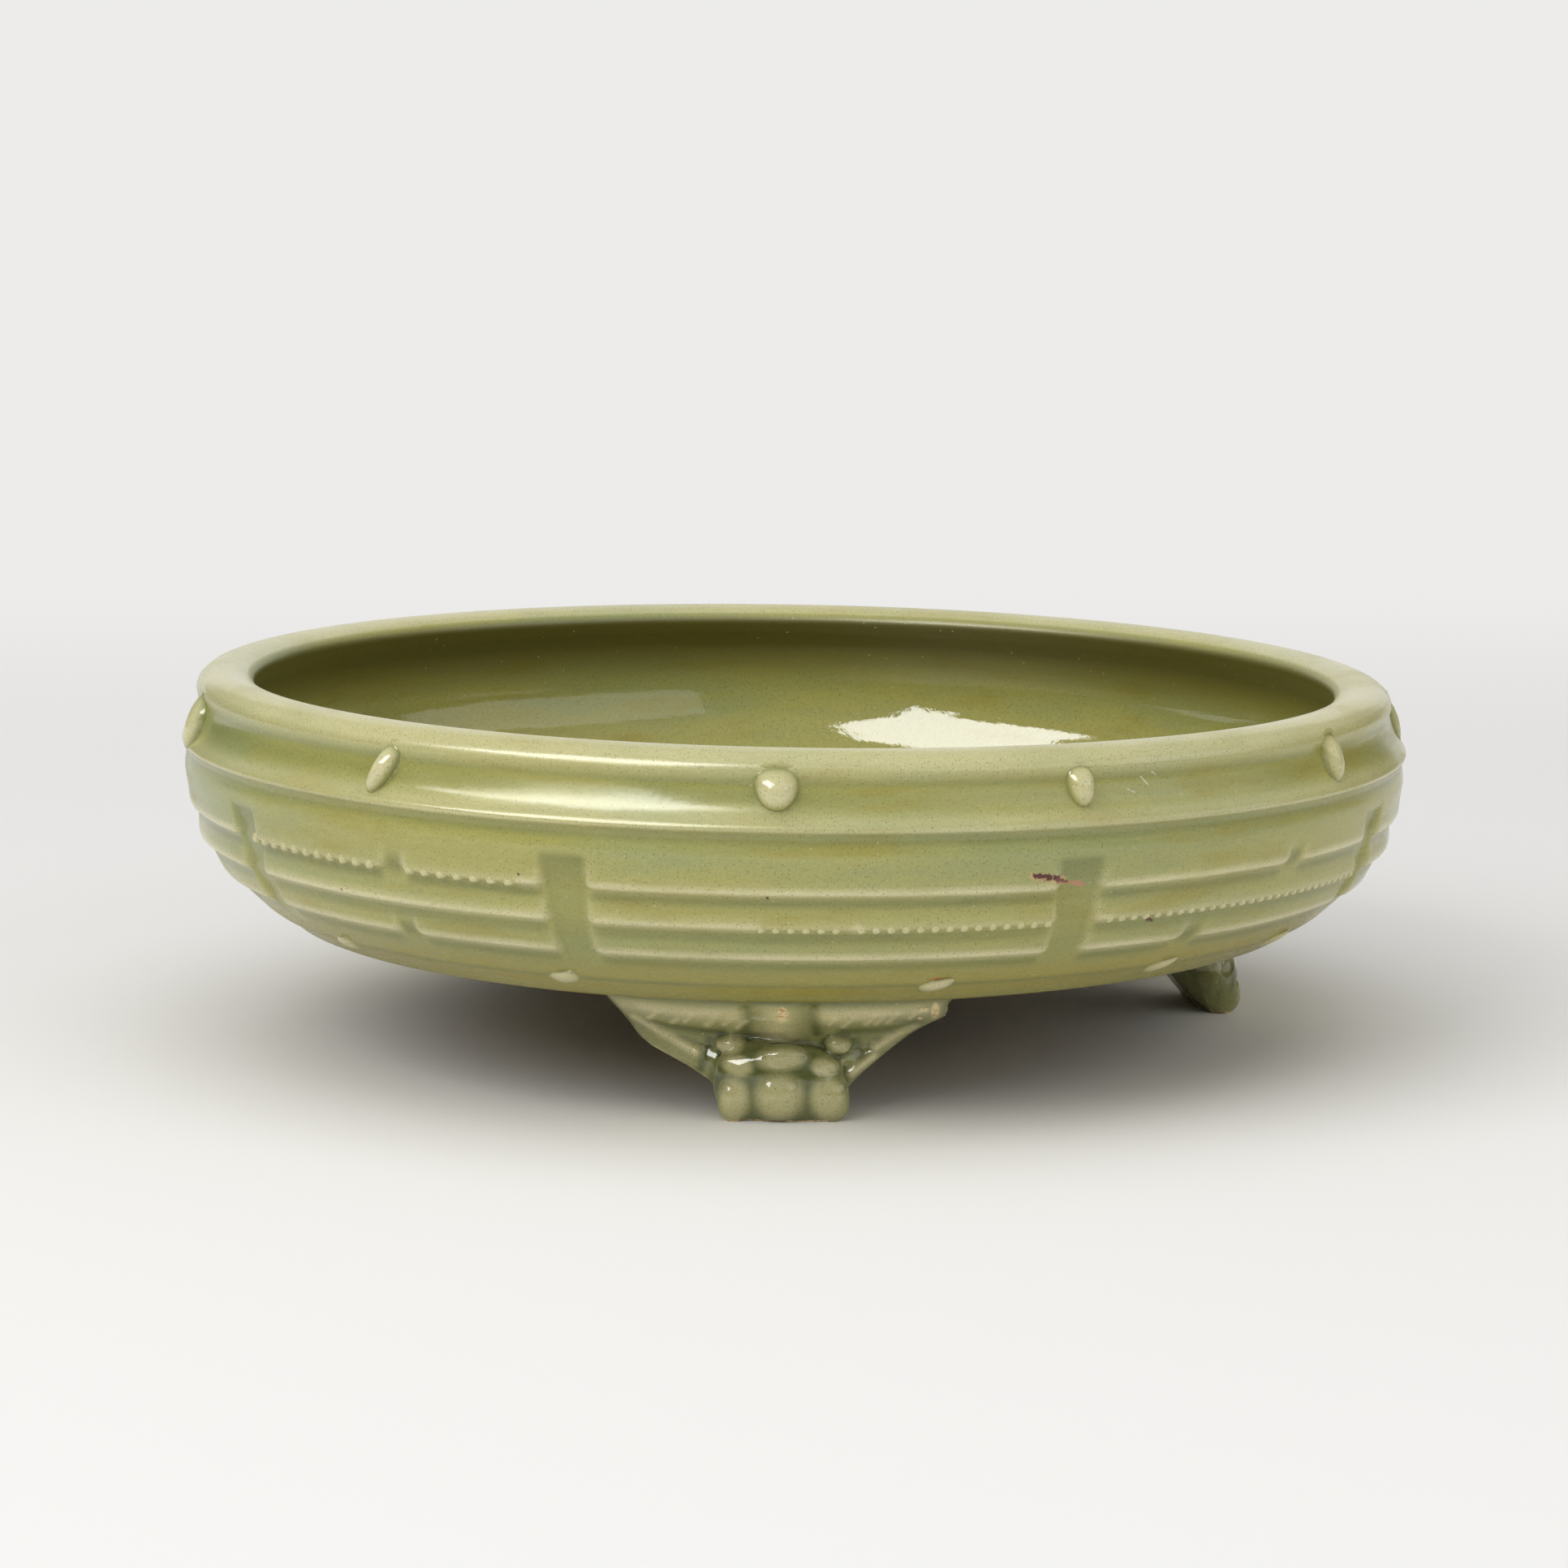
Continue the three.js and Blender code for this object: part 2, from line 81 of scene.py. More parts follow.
# Degrees from the middle of each panel to the break in its bottom, middle and top line
UNBROKEN = None
PANELS = [
    (1.6, UNBROKEN, 2.4),
    (UNBROKEN, UNBROKEN, UNBROKEN),
    (-6.2, UNBROKEN, 5),
    (UNBROKEN, 0, UNBROKEN),
    (-1, 1, UNBROKEN),
    (-1, 0, 1),
    (UNBROKEN, 1, -1),
    (0, UNBROKEN, UNBROKEN),
]
# Runs of beading: line, first and last angle, pitch of the teeth and how far they stand out
BEAD_RUNS = [
    (1, -84.4, -66.9, 2.9, 1), (1, -93, -85.5, 2.9, 0.6), (2, -147, -128, 3.9, 1), (2, -125.4, -114, 3.9, 0.7),
    (1, -61.6, -26.5, 2.9, 0.8), (1, 27, 66, 3.2, 0.8), (2, 122, 160, 3.4, 0.8),
]
# How far the inside has drawn in from its widest, and at what height
INSIDE = [(0, 61), (1, 53.5), (2.5, 49), (4.9, 44), (7.6, 40), (11.6, 36), (18.4, 33), (28.4, 31.4), (63.4, 30.6)]
COLUMNS = 640


def smooth_curve(points, count):
    """Points of a smooth curve through the given radii and heights."""
    ends = [points[0], *points, points[-1]]
    spans = len(points) - 1
    curve = []
    for step in range(count + 1):
        place = step / count * spans
        span = min(int(place), spans - 1)
        t = place - span
        before, start, end, after = (np.array(p, float) for p in ends[span:span + 4])
        leave = (end - before) / 2
        arrive = (after - start) / 2
        curve.append(
            (2 * start - 2 * end + leave + arrive) * t ** 3
            + (3 * end - 3 * start - 2 * leave - arrive) * t ** 2
            + leave * t + start
        )
    return curve


def bend(start, pull, end, count):
    """Points of a simple curve that leaves start and reaches end, drawn towards pull."""
    start, pull, end = (np.array(p, float) for p in (start, pull, end))
    steps = np.linspace(0, 1, count + 1)
    return [start * (1 - t) ** 2 + pull * 2 * t * (1 - t) + end * t ** 2 for t in steps]


groove_curve = np.array(smooth_curve([
    (BASE_STEP_RADIUS, BASE_STEP),
    (LINE_RADII[0] - LINE_DEPTH, LINES[0]),
    (LINE_RADII[1] - LINE_DEPTH, LINES[1]),
    (LINE_RADII[2] - LINE_DEPTH, LINES[2]),
    (PLAIN_BAND_RADIUS, CHANNEL_TOP),
    (PLAIN_BAND_RADIUS - 0.5, RIDGE - 1.2),
], 80))


def wall_radius(height):
    """Radius of the wall at the depth of the grooves."""
    return np.interp(height, groove_curve[:, 1], groove_curve[:, 0])


def wall_heights():
    """Heights of the rows of the wall, close together where a line has its edge."""
    rows = set(np.round(np.arange(BASE_STEP + 0.7, RIDGE - 1.5, 1.25), 2))
    for edge in LINES:
        rows = {row for row in rows if abs(row - edge) > 1.1}
        rows |= set(np.round(edge + np.array([-1, -0.65, -0.4, -0.15, 0.1, 0.38, 0.75, 1.3]), 2))
    return sorted(rows)


def bowl_profile():
    """The turned profile, from the middle of the underside, out, up and in to the floor."""
    mouth = RIM_RADIUS - RIM_WIDTH
    ring_inner = FOOT_RING_RADIUS - FOOT_RING_WIDTH
    return [
        (0, UNDERSIDE), (20, UNDERSIDE), (38, UNDERSIDE), (ring_inner - 2.2, UNDERSIDE - 0.1),
        (ring_inner - 1, UNDERSIDE - 0.8), (ring_inner - 0.3, RING_CLEARANCE + 0.8),
        (ring_inner + 0.6, RING_CLEARANCE), (FOOT_RING_RADIUS - 0.7, RING_CLEARANCE),
        (FOOT_RING_RADIUS, RING_CLEARANCE + 0.7), (FOOT_RING_RADIUS + 0.6, UNDERSIDE - 0.7),
        (FOOT_RING_RADIUS + 1.8, UNDERSIDE + 0.1),
        *bend((70, UNDERSIDE + 0.75), (105.5, 24.4), (BASE_EDGE_RADIUS - 0.6, BASE_EDGE - 0.5), 9),
        (BASE_EDGE_RADIUS, BASE_EDGE + 0.05), (BASE_EDGE_RADIUS + 0.8, BASE_EDGE + 0.7),
        (BASE_EDGE_RADIUS + 2.6, BASE_EDGE + 1.75), (BASE_STEP_RADIUS - 1.4, BASE_STEP - 1),
        (BASE_STEP_RADIUS - 0.75, BASE_STEP - 0.55), (BASE_STEP_RADIUS - 0.45, BASE_STEP - 0.3),
        (BASE_STEP_RADIUS, BASE_STEP),
        *[(wall_radius(height), height) for height in wall_heights()],
        (PLAIN_BAND_RADIUS - 0.3, RIDGE - 0.9), (PLAIN_BAND_RADIUS + 0.15, RIDGE - 0.55),
        (RIDGE_RADIUS - 0.1, RIDGE - 0.2), (RIDGE_RADIUS, RIDGE + 0.1), (RIDGE_RADIUS - 0.05, RIDGE + 0.5),
        *smooth_curve([
            (RIDGE_RADIUS - 0.4, RIDGE + 1.1),
            (SHOULDER_RADIUS + 2.3, RIDGE + 2.2),
            (SHOULDER_RADIUS + 1.35, RIDGE + 3.7),
            (SHOULDER_RADIUS + 0.65, RIDGE + 5.6),
            (SHOULDER_RADIUS + 0.15, RIDGE + 7.4),
            (SHOULDER_RADIUS, RIM_UNDERSIDE - 1.3),
            (RIM_RADIUS - 0.2, RIM_UNDERSIDE - 0.4),
            (RIM_RADIUS, RIM_UNDERSIDE + 0.8),
            (RIM_RADIUS - 0.3, RIM_UNDERSIDE + RIM_HEIGHT * 0.4),
        ], 20),
        *smooth_curve([
            (RIM_RADIUS - 0.65, RIM_UNDERSIDE + RIM_HEIGHT * 0.53),
            (RIM_RADIUS - RIM_WIDTH * 0.22, RIM_TOP - RIM_HEIGHT * 0.14),
            (RIM_RADIUS - RIM_WIDTH * 0.5, RIM_TOP),
            (RIM_RADIUS - RIM_WIDTH * 0.82, RIM_TOP - RIM_HEIGHT * 0.18),
            (mouth, RIM_TOP - RIM_HEIGHT * 0.65),
            (mouth + RIM_WIDTH * 0.1, RIM_UNDERSIDE - RIM_HEIGHT * 0.4),
        ], 20),
        *smooth_curve([
            (mouth + RIM_WIDTH * 0.32, RIM_UNDERSIDE - RIM_HEIGHT * 0.9),
            *[(PLAIN_BAND_RADIUS - WALL - drawn_in, height) for drawn_in, height in INSIDE],
            (0, FLOOR_TOP),
        ], 33),
    ]


outline = np.array(bowl_profile())
outer = outline[(outline[:, 0] > 105) & (outline[:, 1] >= BASE_EDGE - 1)]
outer = outer[:int(np.argmax(outer[:, 1] > RIM_UNDERSIDE + 1.8))]


def outer_radius(height):
    """Radius of the outside of the bowl, without its lines, from the base edge to the rim."""
    return np.interp(height, outer[:, 1], outer[:, 0])


def edge_step(distance, softness):
    """0 on one side of an edge and 1 on the other, with a soft turn between them."""
    t = np.clip(distance / softness * 0.5 + 0.5, 0, 1)
    return t * t * (3 - 2 * t)


def hump(distance, width):
    """1 at a place, falling to nothing over about twice the width."""
    return np.exp(-(distance / width) ** 2)


def arc(angles, angle, radius):
    """Distance along the wall from an angle, positive anticlockwise."""
    return np.radians((angles - angle + 180) % 360 - 180) * radius


def line_breaks():
    """Angle and line of every short break."""
    breaks = []
    for panel, start in enumerate(CHANNELS):
        end = CHANNELS[(panel + 1) % len(CHANNELS)]
        middle = start + (end - start) % 360 / 2
        for line, shift in enumerate(PANELS[panel]):
            if shift is not UNBROKEN:
                breaks.append((middle + shift, line))
    return breaks


def column_angles():
    """Angles of the columns of the bowl, drawn together where lines end."""
    fine = np.linspace(-180, 180, 14401)
    density = np.ones_like(fine)
    ends = [(angle, side * (width / 2)) for angle in CHANNELS for side in (-1, 1) for width in CHANNEL_WIDTHS]
    ends += [(angle, side * BREAK_WIDTH / 2) for angle, _ in line_breaks() for side in (-1, 1)]
    for angle, out in ends:
        density += 4 * np.exp(-(arc(fine, angle, RIDGE_RADIUS) - out) ** 2 / 1.3)
    passed = np.cumsum(density)
    passed = (passed - passed[0]) / (passed[-1] - passed[0])
    return np.interp(np.linspace(0, 1, COLUMNS + 1), passed, fine)


def line_relief(rise):
    """How far a raised line stands out above its lower edge: a rounded edge, then a long face."""
    edge = edge_step(rise, LINE_SOFTNESS)
    face = np.clip(1 - (rise - 0.4) / LINE_FACE, 0, 1)
    return edge * np.where(rise > 0.4, face ** 1.25, 1)


def shape_wall(points, washes):
    """Raises the lines and cuts the channels and breaks. Glaze runs thin along the lower edge of
    a line and pools in the groove below it."""
    radius = np.hypot(points[:, 0], points[:, 1])
    height = points[:, 2]
    angle = np.degrees(np.arctan2(points[:, 1], points[:, 0]))
    on_wall = (np.abs(radius - wall_radius(height)) < 0.1) & (height > BASE_STEP) & (height < RIDGE - 1.1)
    climb = np.clip((height - CHANNEL_FOOT) / (CHANNEL_TOP - CHANNEL_FOOT), 0, 1)
    channel_half = (CHANNEL_WIDTHS[0] + (CHANNEL_WIDTHS[1] - CHANNEL_WIDTHS[0]) * climb) / 2
    into_channel = np.full(len(points), -np.inf)
    for at in CHANNELS:
        into_channel = np.maximum(into_channel, channel_half - np.abs(arc(angle, at, radius)))
    out = np.zeros(len(points))
    for line, edge in enumerate(LINES):
        rise = height - edge
        corner = 1.1 * np.clip(1 - rise / 1.6, 0, 1) ** 2
        to_break = np.full(len(points), np.inf)
        for at, broken in line_breaks():
            if broken == line:
                lean = 0.9 * (rise / LINE_FACE - 0.5)
                to_break = np.minimum(to_break, np.abs(arc(angle, at, radius) - lean) - BREAK_WIDTH / 2)
        away = np.minimum(-into_channel, to_break) - corner
        beaded = np.zeros(len(points))
        for at_line, start, end, *_ in BEAD_RUNS:
            beaded = np.maximum(beaded, (at_line == line) & (angle > start) & (angle < end))
        present = edge_step(away, 1.3)
        out += LINE_DEPTH * line_relief(rise) * present
        ends = hump(away - 0.9, 0.8) * edge_step(rise, 0.5) * np.clip(1 - rise / LINE_FACE, 0, 1)
        for bare in ((1.1 - 0.65 * beaded) * present * hump(rise - 0.6, 0.95), 0.7 * ends):
            washes["bare"] = np.maximum(washes["bare"], on_wall * bare)
        notch = edge_step(-to_break - 0.2, 1) * hump(rise - 0.9, 1.8)
        for pooled in (0.8 * present * hump(rise + 1.5, 1.15) * (rise < 0), 0.9 * notch):
            washes["pool"] = np.maximum(washes["pool"], on_wall * pooled)
    channel = edge_step(into_channel, 1.1)
    channel *= edge_step(CHANNEL_TOP - height, 0.8) * edge_step(height - CHANNEL_FOOT - 1, 4.5)
    out -= CHANNEL_DEPTH * channel
    # Glaze pools in the channel, and painted shade darkens it towards its top, under the top edge
    painted_shade_toward_top = 0.5 + 0.5 * edge_step(height - CHANNEL_TOP + 4, 4)
    washes["pool"] = np.maximum(washes["pool"], on_wall * 0.75 * channel * painted_shade_toward_top)
    grown = 1 + np.where(on_wall, out, 0) / np.maximum(radius, 1)
    points[:, 0] *= grown
    points[:, 1] *= grown


def band_washes(height):
    """Thin glaze on the ridge and the rolled rim, and pooled glaze below and between them."""
    bare = np.maximum.reduce([
        0.55 * hump(height - RIDGE - 0.2, 0.8),
        0.38 * hump(height - RIDGE - 1.6, 1.4),
        0.6 * edge_step(height - RIM_UNDERSIDE - 0.4, 2),
    ])
    pool = np.maximum.reduce([
        0.7 * hump(height - RIDGE + 1.7, 1.1),
        0.5 * hump(height - RIM_UNDERSIDE + 1.3, 0.8),
        0.4 * hump(height - RIDGE - 6, 2),
        0.8 * hump(height - BASE_STEP + 0.4, 0.45),
        0.5 * hump(height - BASE_EDGE, 0.8),
    ])
    return bare, pool


KILN_SAG = 2.3
SAG_ANGLE = math.radians(9)


def sag(points):
    """The censer sank a little in the kiln: its right side stands lower than its left."""
    across = points[:, 0] * math.cos(SAG_ANGLE) + points[:, 1] * math.sin(SAG_ANGLE)
    points[:, 2] *= 1 - KILN_SAG / RIM_TOP * across / RIDGE_RADIUS


def read_points(bm):
    return np.array([vert.co for vert in bm.verts])


def move_points(bm, points):
    for vert, point in zip(bm.verts, points):
        vert.co = point


def store(mesh, name, values):
    mesh.attributes.new(name, "FLOAT", "POINT").data.foreach_set("value", np.asarray(values, np.float32))


def lay_glaze(mesh, rounds):
    """Glaze runs thin over edges and pools in hollows. Stores how far each point stands proud of
    what lies round it, evened out over a number of rounds."""
    count = len(mesh.vertices)
    points = np.empty(count * 3)
    mesh.vertices.foreach_get("co", points)
    points = points.reshape(-1, 3) * 1000
    normals = np.empty(count * 3)
    mesh.vertex_normals.foreach_get("vector", normals)
    normals = normals.reshape(-1, 3)
    ends = np.empty(len(mesh.edges) * 2, dtype=np.int64)
    mesh.edges.foreach_get("vertices", ends)
    a, b = ends.reshape(-1, 2).T
    neighbours = np.maximum(np.bincount(a, minlength=count) + np.bincount(b, minlength=count), 1)
    step = points[b] - points[a]
    squared = np.maximum((step ** 2).sum(1), 0.01)
    proud = (
        np.bincount(b, (step * normals[b]).sum(1) / squared, count)
        - np.bincount(a, (step * normals[a]).sum(1) / squared, count)
    ) / neighbours
    proud = np.clip(proud, -0.6, 0.6)
    for name, repeats in zip(("edge", "swell"), rounds):
        for _ in range(repeats):
            around = np.bincount(a, proud[b], count) + np.bincount(b, proud[a], count)
            proud = (proud + around / neighbours) / 2
        store(mesh, name, proud)


def finish_piece(name, bm, material, stands_for, washes, rounds=(3, 30)):
    """A finished piece: sagged, in metres, glazed, and riding with the censer."""
    points = read_points(bm)
    sag(points)
    move_points(bm, points / 1000)
    mesh = bpy.data.meshes.new(name)
    bm.to_mesh(mesh)
    bm.free()
    mesh.shade_smooth()
    lay_glaze(mesh, rounds)
    for wash, values in washes.items():
        store(mesh, wash, values)
    piece = bpy.data.objects.new(name, mesh)
    bpy.context.scene.collection.objects.link(piece)
    mesh.materials.append(material)
    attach(piece, "root")
    if stands_for:
        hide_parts(*stands_for)
    return piece


# Celadon glaze is a clear grey-green glass over the pale clay. It is cream where it runs thin
# over an edge, sea green and a little blue where it pools, and full of tiny dark specks.


def paint(red, green, blue):
    """A colour as the eye reads it, from 0 to 255, for a shader."""
    levels = [value / 255 for value in (red, green, blue)]
    return [v / 12.92 if v <= 0.04045 else ((v + 0.055) / 1.055) ** 2.4 for v in levels] + [1]


def add(tree, kind, inputs, **settings):
    """A shader node with its settings, and its inputs set to values or joined to other nodes."""
    node = tree.nodes.new(kind)
    for key, value in settings.items():
        setattr(node, key, value)
    for socket, value in inputs.items():
        if isinstance(value, bpy.types.NodeSocket):
            tree.links.new(value, node.inputs[socket])
        else:
            node.inputs[socket].default_value = value
    return node


def blend(tree, amount, under, over, mode="MIX"):
    """One colour laid over another."""
    mixer = add(tree, "ShaderNodeMix", {}, data_type="RGBA", blend_type=mode)
    sockets = {s.identifier: s for s in mixer.inputs}
    for identifier, value in (("Factor_Float", amount), ("A_Color", under), ("B_Color", over)):
        if isinstance(value, bpy.types.NodeSocket):
            tree.links.new(value, sockets[identifier])
        else:
            sockets[identifier].default_value = value
    return next(s for s in mixer.outputs if s.identifier == "Result_Color")


def spread(tree, value, low, high, bottom=0.0, top=1.0):
    """A value brought from one range to another, with soft ends."""
    ranged = add(tree, "ShaderNodeMapRange", {
        "Value": value, "From Min": low, "From Max": high, "To Min": bottom, "To Max": top,
    }, interpolation_type="SMOOTHSTEP")
    return ranged.outputs["Result"]


def math_node(tree, operation, first, second):
    return add(tree, "ShaderNodeMath", {0: first, 1: second}, operation=operation).outputs[0]


def noise(tree, place, scale, detail=3.0, roughness=0.5):
    made = add(tree, "ShaderNodeTexNoise", {
        "Vector": place, "Scale": scale, "Detail": detail, "Roughness": roughness,
    })
    return made.outputs["Fac"]


def wash(tree, name):
    return add(tree, "ShaderNodeAttribute", {}, attribute_name=name).outputs["Fac"]


def specks(tree, place, scale, share, size):
    """Small round specks: one in a share of the cells of a random mesh holds one."""
    cells = add(tree, "ShaderNodeTexVoronoi", {"Vector": place, "Scale": scale})
    draw = add(tree, "ShaderNodeSeparateColor", {"Color": cells.outputs["Color"]}).outputs[0]
    near = spread(tree, cells.outputs["Distance"], size, size * 0.5)
    return math_node(tree, "MULTIPLY", math_node(tree, "LESS_THAN", draw, share), near)


def mark(tree, place, start, end, half_width):
    """A short mark on the glaze between two places, given as angle and height."""
    turn = math.radians(start[0])
    seat = outer_radius(start[1])
    point = np.array([[seat * math.cos(turn), seat * math.sin(turn), start[1]]])
    sag(point)
    way = Vector((0, seat * math.radians(end[0] - start[0]), end[1] - start[1])) / 1000
    # X of this space points out from the wall and is squeezed, so that the mark lies on its relief
    offset = add(tree, "ShaderNodeMapping", {
        "Vector": place, "Location": Vector(point[0] / 1000), "Rotation": (0, 0, turn), "Scale": (12, 1, 1),
    }, vector_type="TEXTURE").outputs[0]
    along = add(tree, "ShaderNodeVectorMath", {0: offset, 1: way / way.length_squared}, operation="DOT_PRODUCT")
    along = add(tree, "ShaderNodeClamp", {"Value": along.outputs["Value"]}).outputs[0]
    foot = add(tree, "ShaderNodeVectorMath", {0: way}, operation="SCALE")
    tree.links.new(along, foot.inputs["Scale"])
    rest = add(tree, "ShaderNodeVectorMath", {0: offset, 1: foot.outputs[0]}, operation="SUBTRACT").outputs[0]
    distance = add(tree, "ShaderNodeVectorMath", {0: rest}, operation="LENGTH").outputs["Value"]
    ragged = math_node(tree, "MULTIPLY", noise(tree, place, 1100, 3, 0.7), half_width * 0.0036)
    return spread(tree, math_node(tree, "ADD", distance, ragged), half_width * 0.0028, half_width * 0.0022)


def celadon(name, body, thin, pooled, cool, warm, roughness, marks=()):
    """Celadon glaze: its body, where it is thin or pooled, and its cool and warm clouds."""
    material = bpy.data.materials.new(name)
    material.use_nodes = True
    tree = material.node_tree
    tree.nodes.clear()
    place = add(tree, "ShaderNodeTexCoord", {}).outputs["Object"]
    height = add(tree, "ShaderNodeSeparateXYZ", {"Vector": place}).outputs["Z"]
    streaked = add(tree, "ShaderNodeMapping", {"Vector": place, "Scale": (1, 1, 5)}).outputs["Vector"]
    edge = wash(tree, "edge")
    deep = wash(tree, "deep")

    cloud = noise(tree, streaked, 11, 4, 0.62)
    drift = noise(tree, streaked, 36, 5, 0.6)
    colour = blend(tree, spread(tree, cloud, 0.42, 0.66, 0, 0.7), body, cool)
    colour = blend(tree, spread(tree, drift, 0.5, 0.7, 0, 0.6), colour, warm)
    colour = blend(tree, spread(tree, height, 0.042, 0.03, 0, 0.8), colour, warm)
    colour = blend(tree, wash(tree, "scorched"), colour, paint(104, 88, 58))
    # Painted shade: the wash deep turns the inside wall dark olive under the overhanging rim
    colour = blend(tree, spread(tree, deep, 0, 1), colour, paint(78, 74, 12))
    hollow = math_node(tree, "MAXIMUM", wash(tree, "pool"), spread(tree, edge, -0.03, -0.3))
    hollow = math_node(tree, "MULTIPLY", hollow, spread(tree, drift, 0.3, 0.6, 1, 0.7))
    colour = blend(tree, hollow, colour, pooled)
    proud = math_node(tree, "MAXIMUM", wash(tree, "bare"), spread(tree, edge, 0.05, 0.32, 0, 0.8))
    proud = math_node(tree, "MULTIPLY", proud, spread(tree, drift, 0.34, 0.62, 1, 0.74))
    colour = blend(tree, proud, colour, thin)

    grain = spread(tree, noise(tree, place, 2300, 2, 0.7), 0.3, 0.7, 0.9, 1.07)
    mottled = add(tree, "ShaderNodeVectorMath", {0: colour}, operation="SCALE")
    tree.links.new(grain, mottled.inputs["Scale"])
    colour = mottled.outputs["Vector"]
    sand = math_node(tree, "MULTIPLY", specks(tree, place, 1500, 0.4, 0.34), 0.42)
    colour = blend(tree, sand, colour, paint(96, 84, 34))
    bubbles = math_node(tree, "MULTIPLY", specks(tree, place, 700, 0.06, 0.2), 0.4)
    colour = blend(tree, bubbles, colour, paint(214, 212, 176))
    iron = math_node(tree, "MULTIPLY", specks(tree, place, 95, 0.1, 0.04), 0.9)
    colour = blend(tree, iron, colour, paint(58, 44, 26))
    for start, end, half_width, shade in marks:
        colour = blend(tree, mark(tree, place, start, end, half_width), colour, shade)
    raw = wash(tree, "raw")
    clay = blend(tree, spread(tree, noise(tree, place, 700, 3, 0.6), 0.36, 0.54), paint(190, 146, 84), paint(246, 226, 172))
    colour = blend(tree, raw, colour, clay)

    ripple = noise(tree, streaked, 30, 2, 0.4)
    peel = noise(tree, place, 520, 3, 0.6)
    waves = add(tree, "ShaderNodeBump", {"Height": ripple, "Strength": 0.35, "Distance": 0.0006})
    skin = add(tree, "ShaderNodeBump", {
        "Height": peel, "Strength": 0.22, "Distance": 0.00014, "Normal": waves.outputs["Normal"],
    })
    gloss = spread(tree, drift, 0.3, 0.7, roughness * 0.75, roughness * 1.35)
    # Inside, the lower wall is smooth as glass, and the floor, where ash lay, and the lip are dull
    dull_floor = spread(tree, height, 0.0335, 0.0318, 0.035, 0.45)
    dull_lip = spread(tree, height, 0.056, 0.068, 0.035, 0.4)
    gloss = spread(tree, deep, 0, 0.08, gloss, math_node(tree, "MAXIMUM", dull_floor, dull_lip))
    gloss = math_node(tree, "MAXIMUM", gloss, math_node(tree, "MULTIPLY", raw, 0.7))
    surface = add(tree, "ShaderNodeBsdfPrincipled", {
        "Base Color": colour, "Roughness": gloss, "IOR": 1.6, "Normal": skin.outputs["Normal"],
    })
    surface.distribution = "MULTI_GGX"
    out = add(tree, "ShaderNodeOutputMaterial", {})
    tree.links.new(surface.outputs["BSDF"], out.inputs["Surface"])
    return material


GLAZE_TONES = {
    "body": paint(175, 171, 97), "thin": paint(219, 212, 165), "pooled": paint(114, 120, 58),
    "cool": paint(152, 161, 108), "warm": paint(162, 149, 62),
}
# Kiln scars, chips and scratches: from and to, half width, colour
SCAR = paint(84, 32, 18)
CHIP = paint(176, 104, 62)
SCRATCH = paint(214, 210, 184)
MARKS = [
    ((-69.6, 54.7), (-66.5, 53.3), 1, paint(200, 170, 118)),
    ((-67.3, 53.3), (-64.4, 52), 0.6, paint(190, 136, 104)),
    ((-69.4, 54.7), (-67.3, 53.9), 0.75, SCAR),
    ((-67.4, 53.6), (-66.2, 52.9), 0.45, paint(120, 58, 36)),
    ((-57.1, 43.3), (-56.5, 42.9), 0.45, SCAR),
    ((-58.6, 72.6), (-57.9, 70.9), 0.16, SCRATCH),
    ((-57.4, 73.4), (-57, 72.7), 0.16, SCRATCH),
    ((-60.1, 70.4), (-59.4, 69.6), 0.14, SCRATCH),
    ((-92.4, 50.9), (-92.3, 50.7), 0.3, SCAR),
    ((-114.1, 53.4), (-114, 53.2), 0.3, SCAR),
    ((-134.4, 45.3), (-134.3, 45.1), 0.3, SCAR),
    ((-18.6, 35.8), (-18.5, 35.5), 0.35, SCAR),
    ((-77.3, 32.4), (-76.1, 32.5), 0.4, CHIP),
    ((-51.4, 31.6), (-50.6, 31.7), 0.35, CHIP),
]
bowl_glaze = celadon("bowl_glaze", **GLAZE_TONES, roughness=0.24, marks=MARKS)

bm = bmesh.new()
rim_line = [bm.verts.new((radius, 0, height)) for radius, height in outline]
for lower, upper in zip(rim_line, rim_line[1:]):
    bm.edges.new((lower, upper))
bmesh.ops.spin(
    bm, geom=bm.verts[:] + bm.edges[:], cent=(0, 0, 0), axis=(0, 0, 1), dvec=(0, 0, 0),
    angle=math.tau / 4, steps=COLUMNS // 4, use_merge=False, use_duplicate=False,
)
quarter = bm.verts[:] + bm.edges[:] + bm.faces[:]
for turn in (1, 2, 3):
    copied = bmesh.ops.duplicate(bm, geom=quarter)["geom"]
    bmesh.ops.rotate(
        bm, cent=(0, 0, 0), matrix=Matrix.Rotation(turn * math.tau / 4, 3, "Z"),
        verts=[part for part in copied if isinstance(part, bmesh.types.BMVert)],
    )
bmesh.ops.remove_doubles(bm, verts=bm.verts[:], dist=0.001)
bmesh.ops.recalc_face_normals(bm, faces=bm.faces[:])
points = read_points(bm)
radius = np.hypot(points[:, 0], points[:, 1])
height = points[:, 2]
turned = np.degrees(np.arctan2(points[:, 1], points[:, 0]))
turned = np.radians(np.interp(turned, np.linspace(-180, 180, COLUMNS + 1), column_angles()))
points[:, 0] = radius * np.cos(turned)
points[:, 1] = radius * np.sin(turned)

